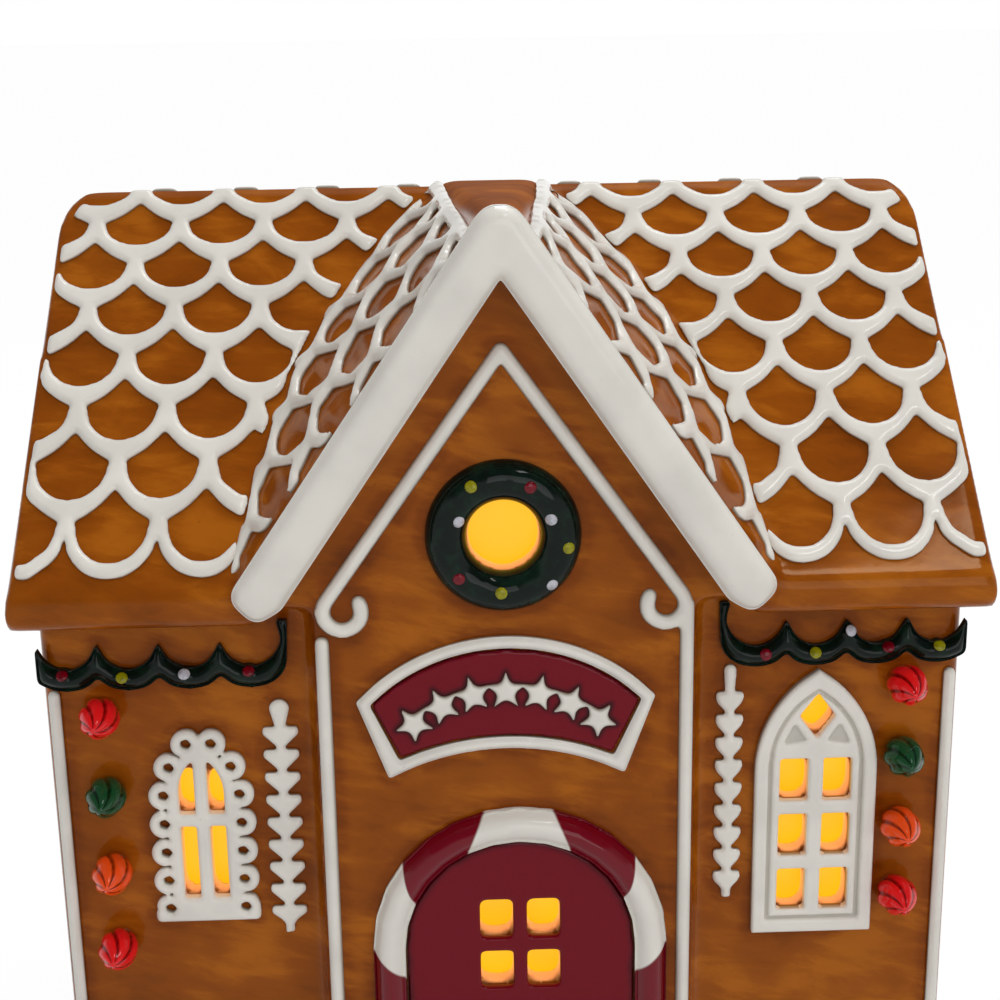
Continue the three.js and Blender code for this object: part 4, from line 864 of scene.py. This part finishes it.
class SHOP_OT_casting(bpy.types.Operator):
    """Glazed casting: walls, bay, roof slopes with swelling shingles"""

    bl_idname = "shop.casting"
    bl_label = "Glazed casting"

    def execute(self, context):
        relief = context.scene.shop.relief
        bm = recast(cad_copy("house_shell"), relief.house_grain)
        soften(bm, 5)
        inner = mark_cavity(bm)
        mark_jambs(bm)
        slopes = set(roof_faces(bm))
        edges = {edge for face in slopes for edge in face.edges}
        bmesh.ops.subdivide_edges(bm, edges=list(edges), cuts=1, use_grid_fill=True, smooth=0)
        bm.normal_update()
        roof = {vert for face in roof_faces(bm) for vert in face.verts}
        swell_shingles(bm, relief, roof, inner)
        thin_cavity(bm, {vert for vert in inner if vert.is_valid})
        # The highest point, and of several the one nearest the middle
        crest = max(bm.verts, key=lambda vert: vert.co.z - abs(vert.co.x) * 0.01)
        middle = Vector((0, crest.co.y, 0))
        glaze = shared(caramel_glaze)
        for side, right in (("left", False), ("right", True)):
            for depth, back in (("front", False), ("back", True)):
                part = quarter(bm, middle, right, back)
                piece(f"casting_{depth}_{side}", part, glaze, ["house_shell"])
        bm.free()
        return {"FINISHED"}


class SHOP_OT_shingle_icing(bpy.types.Operator):
    """Piped icing net over every roof slope"""

    bl_idname = "shop.shingle_icing"
    bl_label = "Shingle icing"

    def execute(self, context):
        relief = context.scene.shop.relief
        for node, lean in SHINGLE_NETS.items():
            facing = Vector(lean).normalized()
            grain = relief.net_grain * (BACK_COARSENESS if node == "roof_icing_back" else 1)
            glazed_relief(node, f"{node}_piped", icing_glaze, facing, grain,
                          drop=0.4, half=1.1, passes=4, spread=0.32, first=5, height=1.1)
        return {"FINISHED"}


class SHOP_OT_icing_lines(bpy.types.Operator):
    """Bargeboard, gable, bay and corner lines of white icing"""

    bl_idname = "shop.icing_lines"
    bl_label = "Icing lines"

    def execute(self, context):
        relief = context.scene.shop.relief
        glazed_relief("bargeboard_icing", "bargeboard_piped", icing_glaze, FORWARD, PLATE_GRAIN,
                      drop=1.5, half=3.2, passes=4, spread=0.2, bent=False)
        for node in ("gable_icing", "bay_icing_left", "corner_icing_left", "corner_icing_right"):
            glazed_relief(node, f"{node}_piped", icing_glaze, FORWARD, relief.line_grain,
                          drop=0.8, half=1.3, passes=3, spread=0.2)
        return {"FINISHED"}


class SHOP_OT_greenery(bpy.types.Operator):
    """Wreath and garlands in dark green glaze with painted berries"""

    bl_idname = "shop.greenery"
    bl_label = "Wreath and garlands"

    def execute(self, context):
        relief = context.scene.shop.relief
        surface = [piece("wreath_glazed", self.ring(), shared(pine_glaze), ["wreath"])]
        for node in ("garland_left", "garland_right"):
            surface.append(glazed_relief(node, f"{node}_glazed", pine_glaze, FORWARD, relief.fine_grain,
                                         drop=1.9, half=2.6, passes=5))
        self.berries(context, surface)
        return {"FINISHED"}

    def ring(self):
        """A round of greenery, half sunk in the gable."""
        low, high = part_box("wreath")
        thick = high.y - low.y - DOT_RELIEF
        wide = (high.x - low.x) / 2 - thick - RING_MARGIN
        bm = bmesh.new()
        section = bmesh.ops.create_circle(bm, segments=28, radius=thick - RING_MARGIN)["verts"]
        place = Matrix.Translation(Vector((wide, 0, 0))) @ Matrix.Rotation(math.radians(90), 4, "X")
        bmesh.ops.transform(bm, verts=section, matrix=place)
        bmesh.ops.spin(bm, geom=bm.verts[:] + bm.edges[:], cent=(0, 0, 0), axis=(0, 0, 1),
                       angle=2 * math.pi, steps=84, use_merge=True)
        bmesh.ops.remove_doubles(bm, verts=bm.verts, dist=1e-5)
        for vert in bm.verts:
            lobe = math.sin(RING_LOBES * math.atan2(vert.co.y, vert.co.x))
            vert.co.z *= 1 - RING_WAVE + RING_WAVE * lobe
        turn = Matrix.Rotation(math.radians(90), 4, "X")
        middle = Vector(((low.x + high.x) / 2, high.y, (low.z + high.z) / 2))
        bmesh.ops.transform(bm, verts=bm.verts, matrix=Matrix.Translation(middle) @ turn)
        bmesh.ops.recalc_face_normals(bm, faces=bm.faces[:])
        return bm

    def berries(self, context, surface):
        """Dots of paint, each laid on the greenery where its centre meets it from the front."""
        radius = context.scene.shop.lights.berry
        bm = bmesh.new()
        for holder in surface:
            bm.from_mesh(holder.data)
        tree = BVHTree.FromBMesh(bm)
        bm.free()
        flatten = Matrix.Diagonal((1, 1, BERRY_FLATNESS, 1))
        for name, shade in BERRY_SHADES.items():
            dots = bmesh.new()
            for x, z in WREATH_BERRIES[name] + GARLAND_BERRIES[name]:
                hit = tree.ray_cast(Vector((x * MM, -0.2, z * MM)), -FORWARD, 0.4)
                if hit[0] is None:
                    hit = tree.find_nearest(Vector((x * MM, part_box("wreath")[0].y, z * MM)))
                facing = hit[1]
                turn = facing.to_track_quat("Z", "Y").to_matrix().to_4x4()
                place = Matrix.Translation(hit[0] - facing * 0.1 * MM) @ turn @ flatten
                bmesh.ops.create_uvsphere(dots, u_segments=16, v_segments=8, radius=radius, matrix=place)
            piece(f"berries_{name}", dots, berry_paint(f"{name}_berry", linear(*shade)))


class SHOP_OT_sign(bpy.types.Operator):
    """Sign border, sunk crimson panel and a row of icing stars"""

    bl_idname = "shop.sign"
    bl_label = "Sign"

    def execute(self, context):
        relief = context.scene.shop.relief
        glazed_relief("sign_border", "sign_border_piped", icing_glaze, FORWARD, relief.fine_grain,
                      drop=0.9, half=1.25, passes=4)
        glazed_relief("sign_stars", "sign_stars_piped", icing_glaze, FORWARD, relief.fine_grain * 0.8,
                      drop=0.4, half=1.0, passes=3, over="sign_panel")
        bm = recast(cad_copy("sign_panel"), PLATE_GRAIN)
        soften(bm, 2)
        set_pool(bm, 2.2 * MM, "sign_border", "sign_stars")
        piece("sign_panel_glazed", bm, shared(crimson_glaze), ["sign_panel"])
        return {"FINISHED"}


class SHOP_OT_windows(bpy.types.Operator):
    """Lace window, gothic window, side windows and leaf vines"""

    bl_idname = "shop.windows"
    bl_label = "Windows and vines"

    def execute(self, context):
        grain = context.scene.shop.relief.fine_grain
        for node in ("lace_window_frame", "vine_left", "vine_right"):
            glazed_relief(node, f"{node}_piped", icing_glaze, FORWARD, grain,
                          drop=0.5, half=0.9, passes=2, spread=0.12)
        glazed_relief("gothic_window_frame", "gothic_window_frame_piped", icing_glaze, FORWARD, grain * 0.85,
                      drop=0.3, half=0.7, passes=1, height=2.2)
        for node, side in (("side_window_frame_left", -1), ("side_window_frame_right", 1)):
            glazed_relief(node, f"{node}_piped", icing_glaze, Vector((side, 0, 0)), grain * 1.2,
                          drop=0.8, half=1.2, passes=3)
        return {"FINISHED"}


class SHOP_OT_doorway(bpy.types.Operator):
    """Candy arch and crimson door"""

    bl_idname = "shop.doorway"
    bl_label = "Doorway"

    def execute(self, context):
        relief = context.scene.shop.relief
        glazed_relief("candy_arch", "candy_arch_glazed", candy_glaze, FORWARD, relief.line_grain,
                      drop=2.4, half=3.5, passes=6, bent=False)
        bm = recast(cad_copy("door_panel"), PLATE_GRAIN)
        soften(bm, 3)
        set_pool(bm, 4 * MM, "candy_arch")
        piece("door_glazed", bm, shared(crimson_glaze), ["door_panel"])
        return {"FINISHED"}


class SHOP_OT_bulbs(bpy.types.Operator):
    """Plug-in bulbs: fluted, twisted clear plastic"""

    bl_idname = "shop.bulbs"
    bl_label = "Bulbs"

    def execute(self, context):
        lights = context.scene.shop.lights
        plastics = {name: bulb_plastic(f"{name}_bulb", getattr(lights, name))
                    for name in ("red", "green", "orange")}
        for side in ("left", "right"):
            for rank, name in enumerate(BULB_ORDER, 1):
                node = f"bulb_{side}_{rank}"
                bm = self.flame(lights, node, rank + (side == "right"))
                piece(f"{node}_fluted", bm, plastics[name], [node])
        return {"FINISHED"}

    def flame(self, lights, node, turn):
        """Rings drawn out from the seat, each turned a little further, and closed at the tip."""
        low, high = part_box(node)
        x, z = (low.x + high.x) / 2, (low.z + high.z) / 2
        wide = (high.x - low.x) / 2
        bm = bmesh.new()
        count = lights.flutes * 10
        tips = bm.verts.layers.float.new("tip")
        ridges = bm.verts.layers.float.new("ridge")
        ring = bmesh.ops.create_circle(bm, segments=count, radius=1, cap_ends=False)["verts"]
        ring = sorted(ring, key=lambda vert: math.atan2(vert.co.y, vert.co.x))
        edges = bm.edges[:]
        for rank, (along, width) in enumerate(FLAME_PROFILE):
            if rank:
                grown = bmesh.ops.extrude_edge_only(bm, edges=edges)["geom"]
                edges = [part for part in grown if isinstance(part, bmesh.types.BMEdge)]
                ring = [part for part in grown if isinstance(part, bmesh.types.BMVert)]
                ring = sorted(ring, key=lambda vert: math.atan2(vert.co.x - x, vert.co.z - z))
            for step, vert in enumerate(ring):
                way = 2 * math.pi * (step + 0.5) / count - math.pi
                crease = abs(math.sin((lights.flutes * (way - along * lights.twist) + turn) / 2))
                spread = wide * width * (1 - FLUTE_DEPTH + FLUTE_DEPTH * math.sqrt(crease))
                y = low.y + (1 - along) * BULB_LENGTH
                vert.co = Vector((x + spread * math.sin(way), y, z + spread * math.cos(way)))
                # Share along the bulb, for the highlight painted towards the tip, and nearness to a ridge, for
                # the shade painted in the grooves
                vert[tips] = along
                vert[ridges] = crease
        bmesh.ops.contextual_create(bm, geom=edges)
        last = max(bm.faces, key=lambda face: len(face.verts))
        hub = bmesh.ops.poke(bm, faces=[last])["verts"][0]
        hub.co.y = low.y
        hub[tips] = 1
        hub[ridges] = 1
        bmesh.ops.recalc_face_normals(bm, faces=bm.faces[:])
        return bm


class SHOP_OT_base(bpy.types.Operator):
    """Base tray, battery door, feet, power parts and lit films"""

    bl_idname = "shop.base"
    bl_label = "Base and power"

    def execute(self, context):
        dress(amber_film(), "film_")
        for name, (shade, grain, roughness, starts) in PLASTICS.items():
            dress(moulded_plastic(name, linear(*shade), grain, roughness), *starts)
        dress(plated_steel("spring_nickel", linear(205, 204, 198), (1, 6, 1)), "contact_")
        dress(plated_steel("screw_zinc", linear(190, 192, 194), (6, 1, 1)), "door_screw")
        finish = Finish("led_lens")
        clouds = finish.noise(3, detail=1)
        lit = finish.mix(linear(255, 226, 170), linear(255, 240, 205), clouds)
        dress(finish.shade(lit, 0.25, Emission_Color=lit, Emission_Strength=1.0), "led_lens")
        return {"FINISHED"}


class SHOP_OT_stage(bpy.types.Operator):
    """Plain pale floor, soft studio light and the camera"""

    bl_idname = "shop.stage"
    bl_label = "Stage"

    def execute(self, context):
        stage = context.scene.shop.stage
        context.scene.view_settings.view_transform = "Standard"
        self.camera(context, stage)
        self.floor()
        self.sky(context, stage)
        for name, box in SOFTBOXES.items():
            self.softbox(name, *box, getattr(stage, name))
        return {"FINISHED"}

    def camera(self, context, stage):
        camera = bpy.data.cameras.new("camera")
        camera.lens = stage.lens
        camera.sensor_width = 36
        camera.clip_start = 0.01
        holder = bpy.data.objects.new("camera", camera)
        context.collection.objects.link(holder)
        level = math.cos(stage.dip)
        away = Vector((-math.sin(stage.turn) * level, math.cos(stage.turn) * level, -math.sin(stage.dip)))
        right = away.cross(UPWARD).normalized()
        up = right.cross(away)
        cosine, sine = math.cos(stage.roll), math.sin(stage.roll)
        across, tall = right * cosine + up * sine, up * cosine - right * sine
        turn = Matrix((across, tall, -away)).transposed().to_4x4()
        holder.matrix_world = Matrix.Translation(stage.eye) @ turn
        context.scene.camera = holder

    def floor(self):
        """Pale paper that glows for the camera and is clear from below."""
        bm = bmesh.new()
        bmesh.ops.create_grid(bm, x_segments=1, y_segments=1, size=60)
        mesh = bpy.data.meshes.new("floor")
        bm.to_mesh(mesh)
        bm.free()
        finish = Finish("floor_paper")
        tone = finish.noise(40, detail=2)
        paper = finish.mix((0.86, 0.86, 0.86), (0.88, 0.88, 0.88), tone)
        matte = finish.node("ShaderNodeBsdfDiffuse", sockets={"Color": paper})
        glow = finish.node("ShaderNodeEmission", sockets={"Color": (1, 1, 1, 1), "Strength": FLOOR_GLOW})
        above = finish.node("ShaderNodeMixShader", sockets={
            0: finish.seen() * FLOOR_GLOW_SHARE, 1: matte, 2: glow})
        below = finish.node("ShaderNodeNewGeometry", output="Backfacing")
        surface = finish.node("ShaderNodeMixShader", sockets={
            0: below, 1: above, 2: finish.node("ShaderNodeBsdfTransparent")})
        finish.node("ShaderNodeOutputMaterial", sockets={"Surface": surface})
        mesh.materials.append(finish.material)
        floor = bpy.data.objects.new("floor", mesh)
        bpy.context.collection.objects.link(floor)

    @staticmethod
    def sky(context, stage):
        """Soft light from all round; the camera sees white, and gloss sees white under a dark ceiling."""
        world = bpy.data.worlds.new("studio")
        world.use_nodes = True
        context.scene.world = world
        graph = Graph(world.node_tree)
        height = graph.node("ShaderNodeSeparateXYZ", sockets={
            0: graph.node("ShaderNodeTexCoord", output=0)}, output=2)
        camera = graph.node("ShaderNodeLightPath", output="Is Camera Ray")
        ceiling = graph.mask(height, 0.12, 0.5) * (1 - camera)
        backdrop = graph.mix((1, 1, 1), (0.16, 0.16, 0.17), ceiling)
        soft = graph.node("ShaderNodeBackground", sockets={"Color": (1, 1, 1, 1), "Strength": stage.sky})
        white = graph.node("ShaderNodeBackground", sockets={"Color": backdrop, "Strength": 1.0})
        both = graph.node("ShaderNodeMixShader", sockets={0: graph.seen(), 1: soft, 2: white})
        graph.node("ShaderNodeOutputWorld", sockets={"Surface": both})

    @staticmethod
    def softbox(name, place, target, width, height, power):
        light = bpy.data.lights.new(name, "AREA")
        light.shape = "RECTANGLE"
        light.size = width
        light.size_y = height
        light.energy = power
        holder = bpy.data.objects.new(name, light)
        bpy.context.collection.objects.link(holder)
        holder.location = place
        holder.rotation_euler = (Vector(target) - Vector(place)).to_track_quat("-Z", "Y").to_euler()


OPERATORS = (
    SHOP_OT_stage, SHOP_OT_casting, SHOP_OT_shingle_icing, SHOP_OT_icing_lines, SHOP_OT_greenery,
    SHOP_OT_sign, SHOP_OT_windows, SHOP_OT_doorway, SHOP_OT_bulbs, SHOP_OT_base,
)


class SHOP_PT_panel(bpy.types.Panel):
    """Sizes, colours and pieces of the gingerbread shop"""

    bl_idname = "SHOP_PT_panel"
    bl_label = "Gingerbread shop"
    bl_space_type = "VIEW_3D"
    bl_region_type = "UI"
    bl_category = "Shop"

    def draw(self, context):
        shop = context.scene.shop
        for group in (shop.glaze, shop.relief, shop.lights, shop.stage):
            box = self.layout.box()
            for key in group.__annotations__:
                box.prop(group, key)
        for operator in OPERATORS:
            self.layout.operator(operator.bl_idname)


CLASSES = (
    GlazeSettings, ReliefSettings, LightSettings, StageSettings, ShopSettings, *OPERATORS, SHOP_PT_panel,
)


def register():
    for entry in CLASSES:
        bpy.utils.register_class(entry)
    bpy.types.Scene.shop = PointerProperty(type=ShopSettings)


def unregister():
    del bpy.types.Scene.shop
    for entry in reversed(CLASSES):
        bpy.utils.unregister_class(entry)


def main():
    register()
    for operator in OPERATORS:
        family, name = operator.bl_idname.split(".")
        getattr(getattr(bpy.ops, family), name)()


if __name__ == "__main__":
    main()
